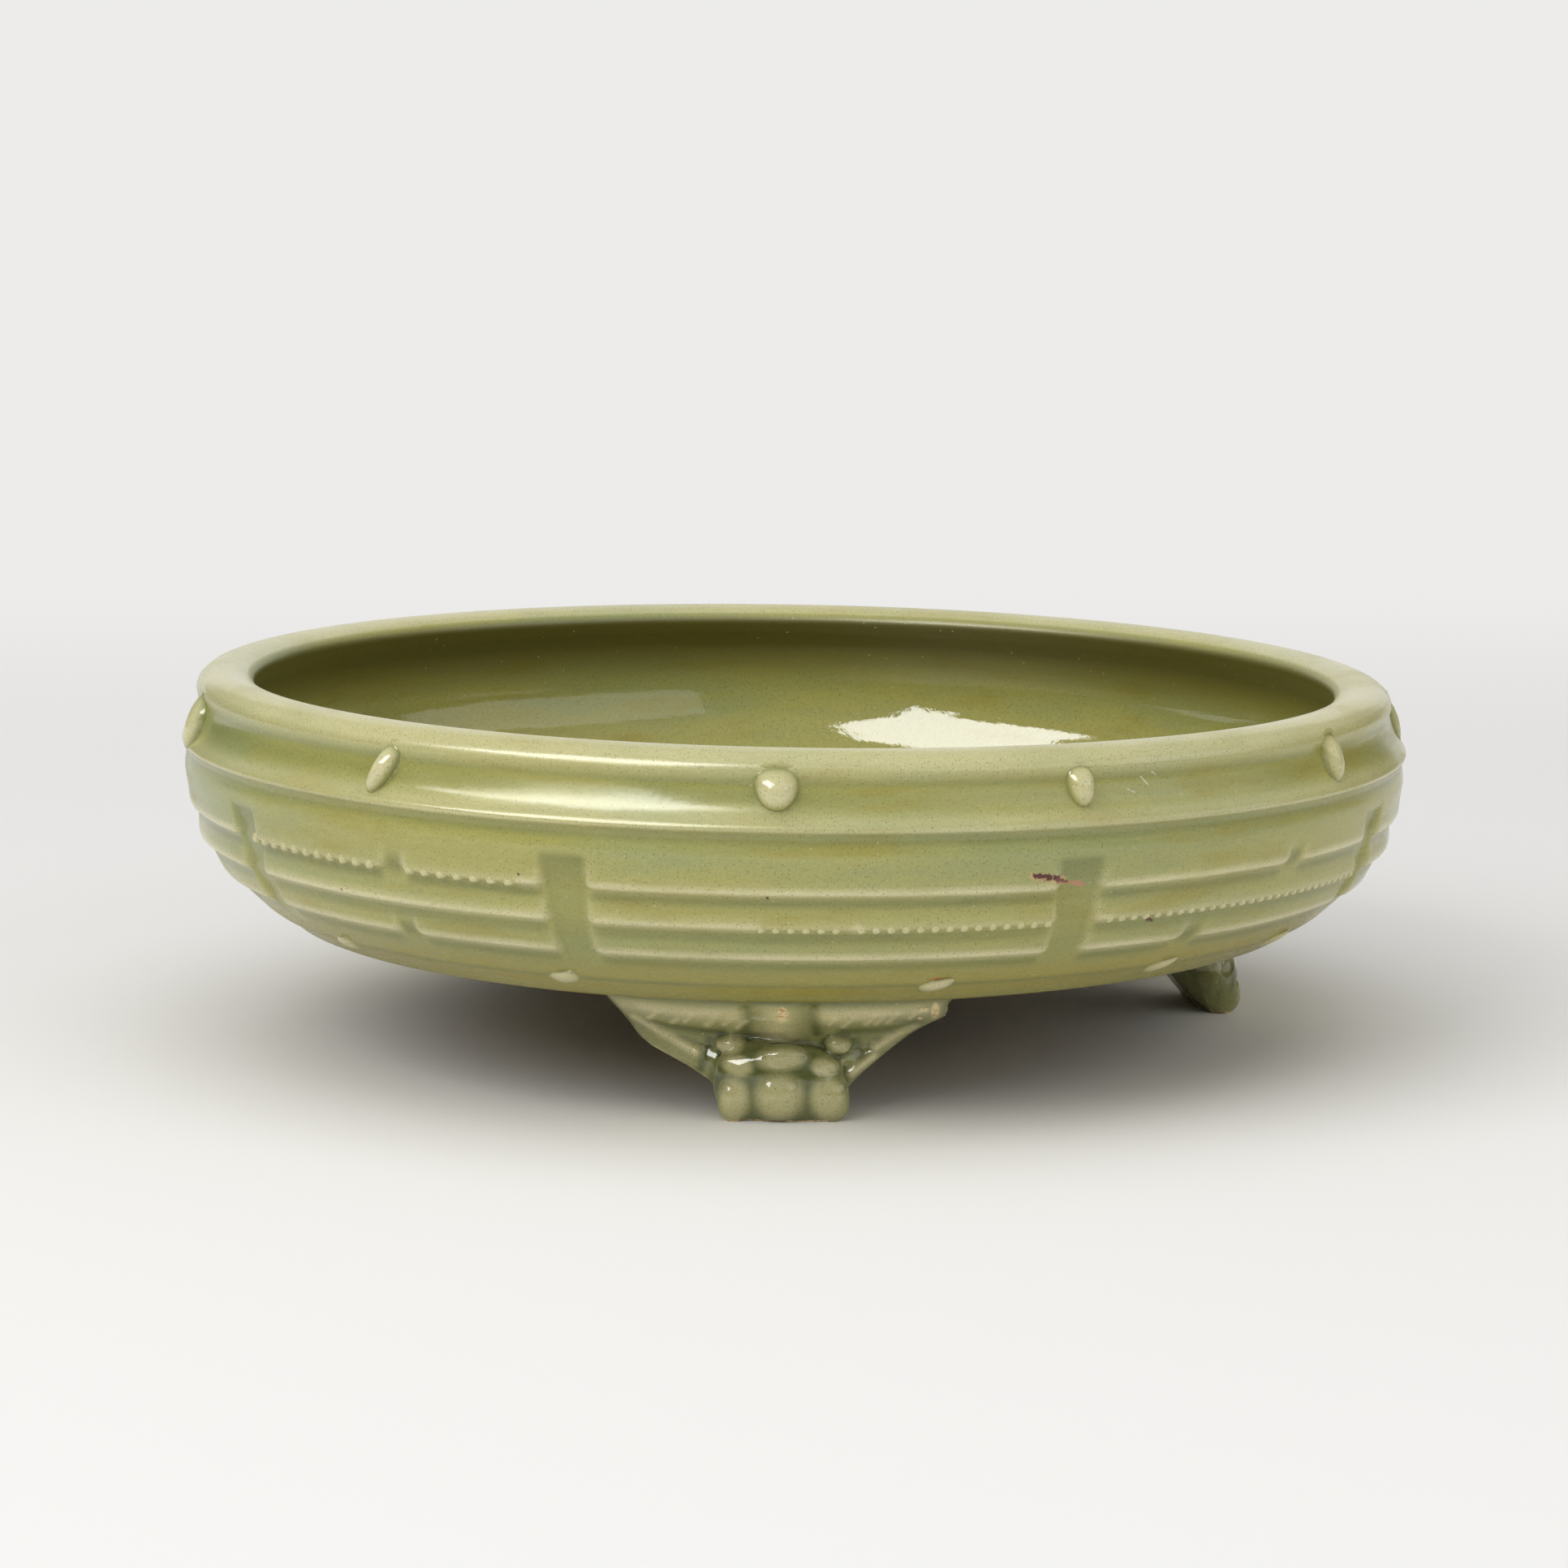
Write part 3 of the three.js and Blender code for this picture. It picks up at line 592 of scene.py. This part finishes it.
bare, pool = band_washes(height)
outside = (radius > outer_radius(height) - 3) & (height > BASE_EDGE - 2)
inside = (height > FLOOR_TOP - 1) & (radius < np.where(height < RIM_UNDERSIDE, outer_radius(height) - 4, RIM_RADIUS - RIM_WIDTH + 1.4))
on_rim = (height > RIM_UNDERSIDE + 1.5) & ~inside
washes = {
    "bare": np.where(outside, bare, 0) + 0.6 * (on_rim & ~outside),
    "pool": np.where(outside, pool, 0),
    # deep: a little dark olive over the whole inside, and painted shade of the overhanging rim, darkest just under it
    "deep": inside * (0.12 + 0.88 * edge_step(height - 64, 11)) * edge_step(RIM_TOP - 2.6 - height, 1.8),
    "raw": hump(height - RING_CLEARANCE, 0.5) * (radius < FOOT_RING_RADIUS + 2) * (height < UNDERSIDE),
    "scorched": 0.85 * edge_step(26 - height, 1.6) * (height < FLOOR_TOP - 2),
}
shape_wall(points, washes)
move_points(bm, points)
bowl = finish_piece("censer_bowl", bm, bowl_glaze, ["bowl"], washes)

# Beading was rolled along the lower edge of some lines with a toothed wheel before the glaze,
# which has filled it in places, so only runs of little teeth show.

BEAD_SHARE = 0.62
BEAD_DEPTH, BEAD_TALL = 1.8, 2.3
BEAD_RISE = 0.3
BEAD_LEAN = -14
BEAD_BLUNTNESS = 0.65

bm = bmesh.new()
for line, start, end, pitch, rise in BEAD_RUNS:
    line_radius = float(wall_radius(LINES[line])) + LINE_DEPTH
    for angle in np.arange(start, end, math.degrees(pitch / line_radius)):
        if any(abs(arc(angle, at, line_radius)) < BREAK_WIDTH / 2 + 1.1 for at, broken in line_breaks() if broken == line):
            continue
        tooth = bmesh.ops.create_icosphere(bm, subdivisions=2, radius=1)["verts"]
        for vert in tooth:
            x, y, z = vert.co
            vert.co = math.copysign(abs(x) ** BEAD_BLUNTNESS, x), y, math.copysign(abs(z) ** BEAD_BLUNTNESS, z)
        bmesh.ops.scale(bm, vec=Vector((pitch * BEAD_SHARE, BEAD_DEPTH, BEAD_TALL)) / 2, verts=tooth)
        seat = Matrix.Translation((0, -line_radius + BEAD_DEPTH / 2 - BEAD_RISE * rise, LINES[line] + 0.6))
        lean = Matrix.Rotation(math.radians(BEAD_LEAN), 4, "Y")
        spin = Matrix.Rotation(math.radians(angle + 90), 4, "Z")
        bmesh.ops.transform(bm, matrix=spin @ seat @ lean, verts=tooth)
teeth = {"bare": np.full(len(bm.verts), 0.9)}
finish_piece("line_beading", bm, bowl_glaze, [], teeth, (1, 2))

# Studs are pellets of clay stuck on the shoulder and the base band with slip, then pinched
# upright between two fingers. The glaze runs off their crests and pools round their feet.

# Angle, height below the rim, lean, width, height and depth of each stud on the shoulder
SHOULDER_STUDS = [
    (-165.2, 4.6, 26, 8, 11, 2), (-128.5, 3.7, 30, 4, 9.4, 2.2), (-91.6, 2.4, 0, 7.4, 7.2, 3), (-64.8, 2.7, -4, 5, 7.2, 2.4),
    (-32.8, 3.2, -8, 5.6, 8.8, 2), (-2, 4, -6, 5, 9, 1), (33, 3.4, 3, 5.2, 8.6, 2.2), (64, 3, -5, 5, 8.4, 2.2),
    (96, 3.2, 6, 5.6, 8, 2.6), (128, 3, 0, 5, 8.8, 2), (160, 3.6, -7, 5.2, 8.8, 2.2),
]
BASE_STUD = 6.4, 3, 1.7
BASE_STUD_LEAN = -14
BASE_STUDS = [-142, -113, -76.2, -50.8, -31.3, -3, 27, 57, 88, 118, 148, 177]
BASE_STUD_RISE = 3.1
STUD_SKIRT = 1.45
STUD_FILLET = 0.4

stud_glaze = celadon("stud_glaze", **GLAZE_TONES, roughness=0.14)


def stud(name, size, angle, height, lean, node):
    wide, tall, deep = size
    bm = bmesh.new()
    bmesh.ops.create_icosphere(bm, subdivisions=5, radius=1)
    points = read_points(bm)
    across, back, up = points.T.copy()
    reach = (np.abs(across) ** 2.3 + np.abs(up) ** 2.3) ** (1 / 2.3) * STUD_SKIRT
    taper = 1 + 0.26 * up
    crest = np.sqrt(np.clip(1 - (reach / 1.1) ** 2, 0, 1))
    across, up = across * wide / 2 * STUD_SKIRT * taper, up * tall / 2 * STUD_SKIRT
    turn = math.radians(lean)
    across, up = across * math.cos(turn) + up * math.sin(turn), up * math.cos(turn) - across * math.sin(turn)
    points[:, 2] = height + up
    seat = outer_radius(points[:, 2])
    # The pellet stands on a straight chord of the shoulder, and a fillet of slip joins the two
    low, high = outer_radius(height - tall / 2), outer_radius(height + tall / 2)
    dome = low + (high - low) * (up / tall + 0.5) + (deep + 0.8) * crest - 0.8 - 3 * np.clip(reach - 1.05, 0, 1)
    skin = STUD_FILLET * np.logaddexp(seat / STUD_FILLET, dome / STUD_FILLET) - 0.25 * (reach / STUD_SKIRT) ** 8
    skin = np.where(back <= 0, skin, seat - 0.25 - 1.1 * back)
    turned = math.radians(angle) + across / seat
    points[:, 0] = skin * np.cos(turned)
    points[:, 1] = skin * np.sin(turned)
    move_points(bm, points)
    bmesh.ops.recalc_face_normals(bm, faces=bm.faces[:])
    bare, pool = band_washes(points[:, 2])
    fade = edge_step(1.2 - reach, 0.25)
    washes = {
        "bare": np.maximum(bare * (1 - fade), np.clip(1.15 * crest, 0, 1) * fade),
        "pool": np.maximum(pool * (1 - fade), 0.8 * hump(reach - 1.12, 0.13)),
    }
    return finish_piece(name, bm, stud_glaze, [node], washes, (3, 12))


for number, (angle, drop, lean, *size) in enumerate(SHOULDER_STUDS, 1):
    stud(f"pinched_stud_{number:02}", size, angle, RIM_UNDERSIDE - drop, lean, f"shoulder_stud_{number:02}")
for number, angle in enumerate(BASE_STUDS, 1):
    stud(f"low_stud_{number:02}", BASE_STUD, angle, BASE_EDGE + BASE_STUD_RISE, BASE_STUD_LEAN, f"base_stud_{number:02}")

# Each foot is pressed in a mould and luted under the base edge: a lion's mask whose paw stands on
# the ground. Glaze runs off brow, cheeks and toes and pools round them, dark green and blue-grey.

FEET = {"front": -91.6, "right": 12.6, "back": 130}
MASK_THICKNESS = 8.5
FOOT_ROOT = BASE_EDGE + 3
FOOT_VOXEL = 0.42

# Half widths on the left and right, and radii of the front and back, by height above the ground
MASK_LEFT = [
    (0, 10.8), (3.3, 12.6), (6.6, 14.2), (10.5, 20.6), (14.4, 28.6), (21, 32.6), (26, 35.6), (27.6, 37), (30.6, 37),
]
MASK_RIGHT = [
    (0, 10.8), (3.3, 12.6), (6.6, 14), (11.6, 19.8), (16.6, 26.8), (19.2, 30.8), (20.6, 33), (23.4, 33.4), (25.5, 34.4),
    (27.6, 37), (30.6, 37),
]
MASK_FRONT = [(0, 94.5), (5.5, 95.2), (11, 95.2), (16, 94.6), (21.8, 102.4), (27.6, 110), (30.6, 110)]
LEG_BACK = [(0, 93), (2.4, 90.4), (6.7, 86.8), (11, 84), (27.6, 76.6), (30.6, 74.9)]
LEG_HALF = [(0, 6.5), (11, 7.7), (27.6, 15), (30.6, 15)]

# Eggs of clay on the mask: across, radius, height, then width, depth, tallness and lean
KNUCKLES = [(-8.8, 96.2, 11.5, 7, 6, 4.4, 8), (0.1, 97, 13.1, 11, 6, 5.2, -4), (8.7, 96, 11.2, 6.2, 6, 4, 14)]
TOES = [(-9.5, 96.4, 4.6, 7, 8, 10.2, 3), (-0.4, 97.2, 5.4, 10.8, 8, 10.8, 0), (9.5, 96.5, 4.9, 8.4, 8, 10.4, -5)]
EYES = [(-10.2, 94.8, 15.3, 6.2, 4.8, 4, -14), (11.3, 94.8, 15.2, 5.4, 5, 4.2, 8)]
PAW = (-0.6, 95, 7.2, 26.4, 10.4, 16.4, 5)

# Strokes pressed into the mould: points across and up, half width and how far they stand out
STROKES = [
    ([(-31, 24.8), (-24, 23.8), (-16, 22.8), (-9, 22.4)], 2.5, 1),
    ([(9, 22.6), (14, 22.8), (22, 23.6), (30, 24.4)], 2.5, 1),
    ([(-0.6, 23.6), (-0.4, 18)], 4, 1),
    ([(6.7, 25), (6.9, 17.6)], 1.1, -0.9),
    ([(-6.8, 24.4), (-7.2, 18.4)], 1.4, -0.5),
    ([(-29.6, 20.2), (-24.4, 16.7), (-17.2, 13.2)], 1.1, 1.1),
    ([(26.4, 18.3), (19, 14.4)], 1.1, 1.1),
    ([(18.4, 12.4), (14, 9)], 1, 0.9),
    ([(-26, 19.4), (-21, 18.2), (-12, 17.2)], 1.1, -0.9),
    ([(12, 17.6), (22, 18.4), (27, 20)], 1.1, -0.7),
    ([(-9, 16.8), (0, 17)], 0.9, -0.9),
    ([(-14.4, 15.6), (-16.4, 9.6)], 1.1, -0.3),
    ([(14.8, 15.6), (16.4, 11.6)], 1.1, -0.3),
]
# Ragged tufts of hair along the lower edges of the brows: across, up and length
TUFTS = [
    (-26.4, 20.6, 1.6), (-21.8, 19.8, 1.2), (-19.2, 20.4, 1.6), (-14.8, 19.4, 2), (-11.4, 19.9, 1.2), (-8.6, 19.2, 1.8),
    (9.6, 20.4, 1.4), (12.4, 19.6, 1.8), (16.8, 20.2, 2.2), (18.8, 20.3, 2.2), (21.2, 20.5, 2.2), (25.6, 21.4, 1.6),
]
for across, up, long in TUFTS:
    STROKES.append(([(across + 0.9 * long, up + long), (across, up)], 0.75, 0.55))
# Chips that show the clay: across, up, half width and half height
FOOT_CHIPS = [(0.4, 23.2, 1.1, 2), (30.6, 23, 0.8, 2.4), (28.4, 23.8, 0.9, 0.6), (27.6, 21.2, 0.5, 0.5)]


def foot_size(points, height):
    """A size of the foot at a height, on a smooth curve through its given points."""
    curve = np.array(smooth_curve([(size, at) for at, size in points], len(points) * 6))
    return float(np.interp(height, curve[:, 1], curve[:, 0]))


def foot_course(height):
    """One level course of the mask and its leg, going round from the middle of the front."""
    leg = foot_size(LEG_HALF, height)
    front = foot_size(MASK_FRONT, height)
    back = foot_size(LEG_BACK, height)
    thick = min(MASK_THICKNESS, (front - back) * 0.6)
    hollow = front - thick - back

    def side(half):
        return [
            (half * 0.3, front), (half * 0.6, front), (half * 0.84, front - thick * 0.06),
            (half * 0.96, front - thick * 0.2), (half, front - thick * 0.42), (half * 0.94, front - thick * 0.88),
            ((half + leg) / 2, front - thick - hollow * 0.3), (leg, back + hollow * 0.2), (leg * 0.55, back),
        ]

    right = side(foot_size(MASK_RIGHT, height))
    left = [(-across, radius) for across, radius in side(foot_size(MASK_LEFT, height))]
    ring = [(0, front), *right, (0, back), *reversed(left)]
    return [Vector((across, -math.sqrt(radius ** 2 - across ** 2), height)) for across, radius in ring]


def add_egg(bm, across, radius, height, wide, deep, tall, lean, bluntness=1.0):
    """An egg of clay that leans clockwise; below 1, bluntness swells its ends to a block."""
    made = bmesh.ops.create_icosphere(bm, subdivisions=4, radius=1)["verts"]
    for vert in made:
        x, y, z = vert.co
        x = math.copysign(abs(x) ** bluntness, x)
        z = math.copysign(abs(z) ** ((1 + bluntness) / 2), z)
        vert.co = x * wide / 2, y * deep / 2, z * tall / 2
    place = Matrix.Translation((across, -math.sqrt(radius ** 2 - across ** 2), height))
    bmesh.ops.transform(bm, matrix=place @ Matrix.Rotation(math.radians(lean), 4, "Y"), verts=made)


def stroke_distance(points, stroke):
    """Distance of each point, seen from the front, to a stroke."""
    nearest = np.full(len(points), np.inf)
    seen = points[:, [0, 2]]
    for start, end in zip(stroke, stroke[1:]):
        start, way = np.array(start, float), np.subtract(end, start).astype(float)
        along = np.clip(((seen - start) @ way) / (way @ way), 0, 1)
        nearest = np.minimum(nearest, np.hypot(*(seen - start - along[:, None] * way).T))
    return nearest


def model_foot():
    """One foot at the front: level courses of the mask and leg, with eggs of clay laid over them."""
    bm = bmesh.new()
    loops = []
    for height in np.linspace(0, FOOT_ROOT, 22):
        course = foot_course(height)
        ring = bmesh.ops.create_circle(bm, cap_ends=False, segments=len(course), radius=1)["verts"]
        for vert, point in zip(ring, course):
            vert.co = point
        loops.append([edge for edge in bm.edges if edge.verts[0] in ring and edge.verts[1] in ring])
    for lower, upper in zip(loops, loops[1:]):
        bmesh.ops.bridge_loops(bm, edges=lower + upper)
    bmesh.ops.holes_fill(bm, edges=loops[0] + loops[-1], sides=0)
    bmesh.ops.recalc_face_normals(bm, faces=bm.faces[:])
    add_egg(bm, *PAW, bluntness=0.6)
    for egg in KNUCKLES + EYES:
        add_egg(bm, *egg)
    for egg in TOES:
        add_egg(bm, *egg, bluntness=0.74)
    return bm


def one_skin(bm, voxel, rounds):
    """Joins overlapping clay into one skin of even faces, and smooths it."""
    mesh = bpy.data.meshes.new("raw_clay")
    bm.to_mesh(mesh)
    bm.free()
    clay = bpy.data.objects.new("raw_clay", mesh)
    bpy.context.scene.collection.objects.link(clay)
    remesh = clay.modifiers.new("one_skin", "REMESH")
    remesh.mode = "VOXEL"
    remesh.voxel_size = voxel
    skin = bmesh.new()
    skin.from_object(clay, bpy.context.evaluated_depsgraph_get())
    bpy.data.objects.remove(clay)
    bpy.data.meshes.remove(mesh)
    for _ in range(rounds):
        bmesh.ops.smooth_vert(skin, verts=skin.verts[:], factor=0.5, use_axis_x=True, use_axis_y=True, use_axis_z=True)
    return skin


def egg_reach(points, egg, grown):
    """Distance from the middle of an egg, seen from the front, as a share of its size."""
    across, _, height, wide, _, tall, lean = egg
    turn = math.radians(lean)
    x, z = points[:, 0] - across, points[:, 2] - height
    x, z = x * math.cos(turn) - z * math.sin(turn), z * math.cos(turn) + x * math.sin(turn)
    return np.hypot(x / wide, z / tall) * 2 / grown


def press_strokes(bm):
    """Presses the strokes of the mould into the front of a foot and flattens its sole. Returns where
    its glaze is thin, pooled or chipped away, with painted shade added to the pool under the base edge."""
    bm.normal_update()
    points = read_points(bm)
    normals = np.array([vert.normal for vert in bm.verts])
    facing = np.clip(-normals[:, 1] * 2.5 - 0.4, 0, 1)
    out, bare, pool, raw = np.zeros((4, len(points)))
    for stroke, half_width, rise in STROKES:
        near = hump(stroke_distance(points, stroke), half_width)
        out += rise * near
        if rise > 0:
            bare = np.maximum(bare, near)
        else:
            pool = np.maximum(pool, 0.8 * near)
    out *= edge_step(BASE_EDGE - 1.6 - points[:, 2], 1.6)
    bare *= edge_step(BASE_EDGE - 2.6 - points[:, 2], 1.6)
    # Pooled glaze and painted shade darken the top of the mask, where it tucks under the base edge
    pool = np.maximum(pool, 0.75 * edge_step(points[:, 2] - BASE_EDGE + 1.9, 1.2))
    paw = edge_step(1 - egg_reach(points, PAW, 1.06), 0.12) * (points[:, 1] < -88)
    pool = np.maximum(pool * (1 - paw), 0.95 * paw)
    bare *= 1 - paw
    for egg in KNUCKLES + TOES + EYES:
        top = edge_step(0.82 - egg_reach(points, egg, 1), 0.36)
        bare = np.maximum(bare, 0.62 * top)
        pool = pool * (1 - top)
    for across, up, wide, tall in FOOT_CHIPS:
        chip = np.hypot((points[:, 0] - across) / wide, (points[:, 2] - up) / tall)
        chip = edge_step(1 - chip, 0.3)
        raw = np.maximum(raw, chip)
        out -= 0.5 * chip
    points[:, 1] -= out * facing
    sole = (points[:, 2] < 0.35) & (normals[:, 2] < 0)
    points[:, 2] = np.maximum(points[:, 2], 0)
    move_points(bm, points)
    return {"bare": bare * facing, "pool": pool * np.maximum(facing, 0.3), "raw": np.maximum(raw * facing, sole)}


foot_glaze = celadon(
    "foot_glaze", body=paint(156, 164, 118), thin=paint(224, 214, 164), pooled=paint(62, 74, 30),
    cool=paint(130, 152, 128), warm=paint(152, 150, 92), roughness=0.07,
)

foot_clay = one_skin(model_foot(), FOOT_VOXEL, 3)
washes = press_strokes(foot_clay)
for place, angle in FEET.items():
    bm = foot_clay.copy()
    bmesh.ops.rotate(bm, cent=(0, 0, 0), matrix=Matrix.Rotation(math.radians(angle + 90), 3, "Z"), verts=bm.verts[:])
    finish_piece(f"lion_foot_{place}", bm, foot_glaze, [f"mask_foot_{place}"], washes, (3, 24))
foot_clay.free()

# The floor and backdrop are one sweep of pale paper under soft studio light.

SWEEP_FRONT = -2.2
SWEEP_BACK = 2.6
SWEEP_HEIGHT = 2.4
SWEEP_CURVE = 0.9
SWEEP_HALF_WIDTH = 1.28
ROOM_DARK = 0.04
ROOM_BRIGHT = 0.47

bm = bmesh.new()
profile = [(0, SWEEP_FRONT, 0), (0, SWEEP_BACK - SWEEP_CURVE, 0)]
profile += [
    (0, SWEEP_BACK - SWEEP_CURVE * (1 - math.sin(t)), SWEEP_CURVE * (1 - math.cos(t)))
    for t in np.linspace(0, math.pi / 2, 17)[1:]
]
profile.append((0, SWEEP_BACK, SWEEP_HEIGHT))
edge_verts = [bm.verts.new(Vector(point) - Vector((SWEEP_HALF_WIDTH, 0, 0))) for point in profile]
edges = [bm.edges.new(pair) for pair in zip(edge_verts, edge_verts[1:])]
swept = bmesh.ops.extrude_edge_only(bm, edges=edges)["geom"]
bmesh.ops.translate(bm, vec=(2 * SWEEP_HALF_WIDTH, 0, 0), verts=[part for part in swept if isinstance(part, bmesh.types.BMVert)])
bmesh.ops.recalc_face_normals(bm, faces=bm.faces[:])
mesh = bpy.data.meshes.new("paper_sweep")
bm.to_mesh(mesh)
bm.free()
mesh.shade_smooth()
sweep = bpy.data.objects.new("paper_sweep", mesh)
bpy.context.scene.collection.objects.link(sweep)

paper = bpy.data.materials.new("studio_paper")
paper.use_nodes = True
tree = paper.node_tree
tree.nodes.clear()
place = add(tree, "ShaderNodeTexCoord", {}).outputs["Object"]
depth = add(tree, "ShaderNodeSeparateXYZ", {"Vector": place}).outputs["Y"]
rays = add(tree, "ShaderNodeLightPath", {}).outputs
seen = math_node(tree, "MAXIMUM", rays["Is Camera Ray"], rays["Is Glossy Ray"])
seen = math_node(tree, "MAXIMUM", seen, rays["Is Transmission Ray"])
share = math_node(tree, "MULTIPLY", seen, spread(tree, depth, 0.15, 0.9))
lit = add(tree, "ShaderNodeBsdfDiffuse", {"Color": paint(242, 241, 239)})
glow = add(tree, "ShaderNodeEmission", {"Color": paint(237, 236, 235), "Strength": 1.0})
mixed = add(tree, "ShaderNodeMixShader", {"Fac": share, 1: lit.outputs["BSDF"], 2: glow.outputs["Emission"]})
out = add(tree, "ShaderNodeOutputMaterial", {"Surface": mixed.outputs["Shader"]})
mesh.materials.append(paper)

world = bpy.data.worlds.new("studio_room")
bpy.context.scene.world = world
world.use_nodes = True
tree = world.node_tree
tree.nodes.clear()
way = add(tree, "ShaderNodeSeparateXYZ", {"Vector": add(tree, "ShaderNodeTexCoord", {}).outputs["Generated"]})
room = spread(tree, way.outputs["Z"], 0.1, 0.6, ROOM_DARK, ROOM_BRIGHT)
lit = add(tree, "ShaderNodeBackground", {"Color": (1, 1, 1, 1), "Strength": room})
plain = add(tree, "ShaderNodeBackground", {"Color": paint(237, 236, 235), "Strength": 1.0})
seen = add(tree, "ShaderNodeLightPath", {}).outputs["Is Camera Ray"]
mixed = add(tree, "ShaderNodeMixShader", {"Fac": seen, 1: lit.outputs["Background"], 2: plain.outputs["Background"]})
add(tree, "ShaderNodeOutputWorld", {"Surface": mixed.outputs["Shader"]})


def toward(azimuth, elevation):
    """A direction from the censer. Azimuth 0 is straight ahead, and negative to the left."""
    az, el = math.radians(azimuth), math.radians(elevation)
    return Vector((math.sin(az) * math.cos(el), -math.cos(az) * math.cos(el), math.sin(el)))


def softbox(name, azimuth, elevation, distance, width, height, radiance):
    """A rectangular lamp that faces the censer."""
    lamp = bpy.data.lights.new(name, "AREA")
    lamp.shape = "RECTANGLE"
    lamp.size = width
    lamp.size_y = height
    lamp.energy = radiance * math.pi * width * height
    shell = bpy.data.objects.new(name, lamp)
    bpy.context.scene.collection.objects.link(shell)
    way = toward(azimuth, elevation)
    shell.location = way * distance + Vector((0, 0, 0.05))
    shell.rotation_euler = way.to_track_quat("Z", "Y").to_euler()
    shell.visible_camera = False
    return shell


softbox("key_softbox", -48, 36, 1.7, 1.5, 0.87, 2.5).visible_glossy = False
softbox("overhead_softbox", -30, 76, 1.9, 2.6, 2.6, 0.84).visible_glossy = False
softbox("fill_softbox", 55, 26, 1.7, 1.6, 1, 0.95).visible_glossy = False
softbox("side_card", 59, 19, 1.5, 2.2, 0.6, 1).visible_diffuse = False

# The bright cloth of the key lamp hangs by one corner, so the glaze mirrors it as a diamond

KEY_CORNERS = [(-9, 42), (-27.7, 21), (-75, 29), (-44.5, 53)]
KEY_CLOTH = 10.8

bm = bmesh.new()
corners = bmesh.ops.create_circle(bm, cap_ends=True, segments=4, radius=1)["verts"]
for vert, corner in zip(corners, KEY_CORNERS):
    vert.co = toward(*corner) * 1.7
mesh = bpy.data.meshes.new("key_cloth")
bm.to_mesh(mesh)
bm.free()
cloth = bpy.data.objects.new("key_cloth", mesh)
bpy.context.scene.collection.objects.link(cloth)
material = bpy.data.materials.new("key_cloth")
material.use_nodes = True
tree = material.node_tree
tree.nodes.clear()
glow = add(tree, "ShaderNodeEmission", {"Strength": KEY_CLOTH})
add(tree, "ShaderNodeOutputMaterial", {"Surface": glow.outputs["Emission"]})
mesh.materials.append(material)
for ray in ("camera", "diffuse", "transmission", "shadow"):
    setattr(cloth, f"visible_{ray}", False)

# The camera stands a metre in front of the censer and looks slightly down on it.

camera = bpy.data.cameras.new("photo_camera")
camera.sensor_width = 36
camera.lens = 105.97
photographer = bpy.data.objects.new("photo_camera", camera)
bpy.context.scene.collection.objects.link(photographer)
photographer.location = (-0.0022, -1.0, 0.2076)
photographer.rotation_euler = Euler((math.radians(90 - 8.773), 0, 0))
bpy.context.scene.camera = photographer
bpy.context.scene.view_settings.view_transform = "Standard"
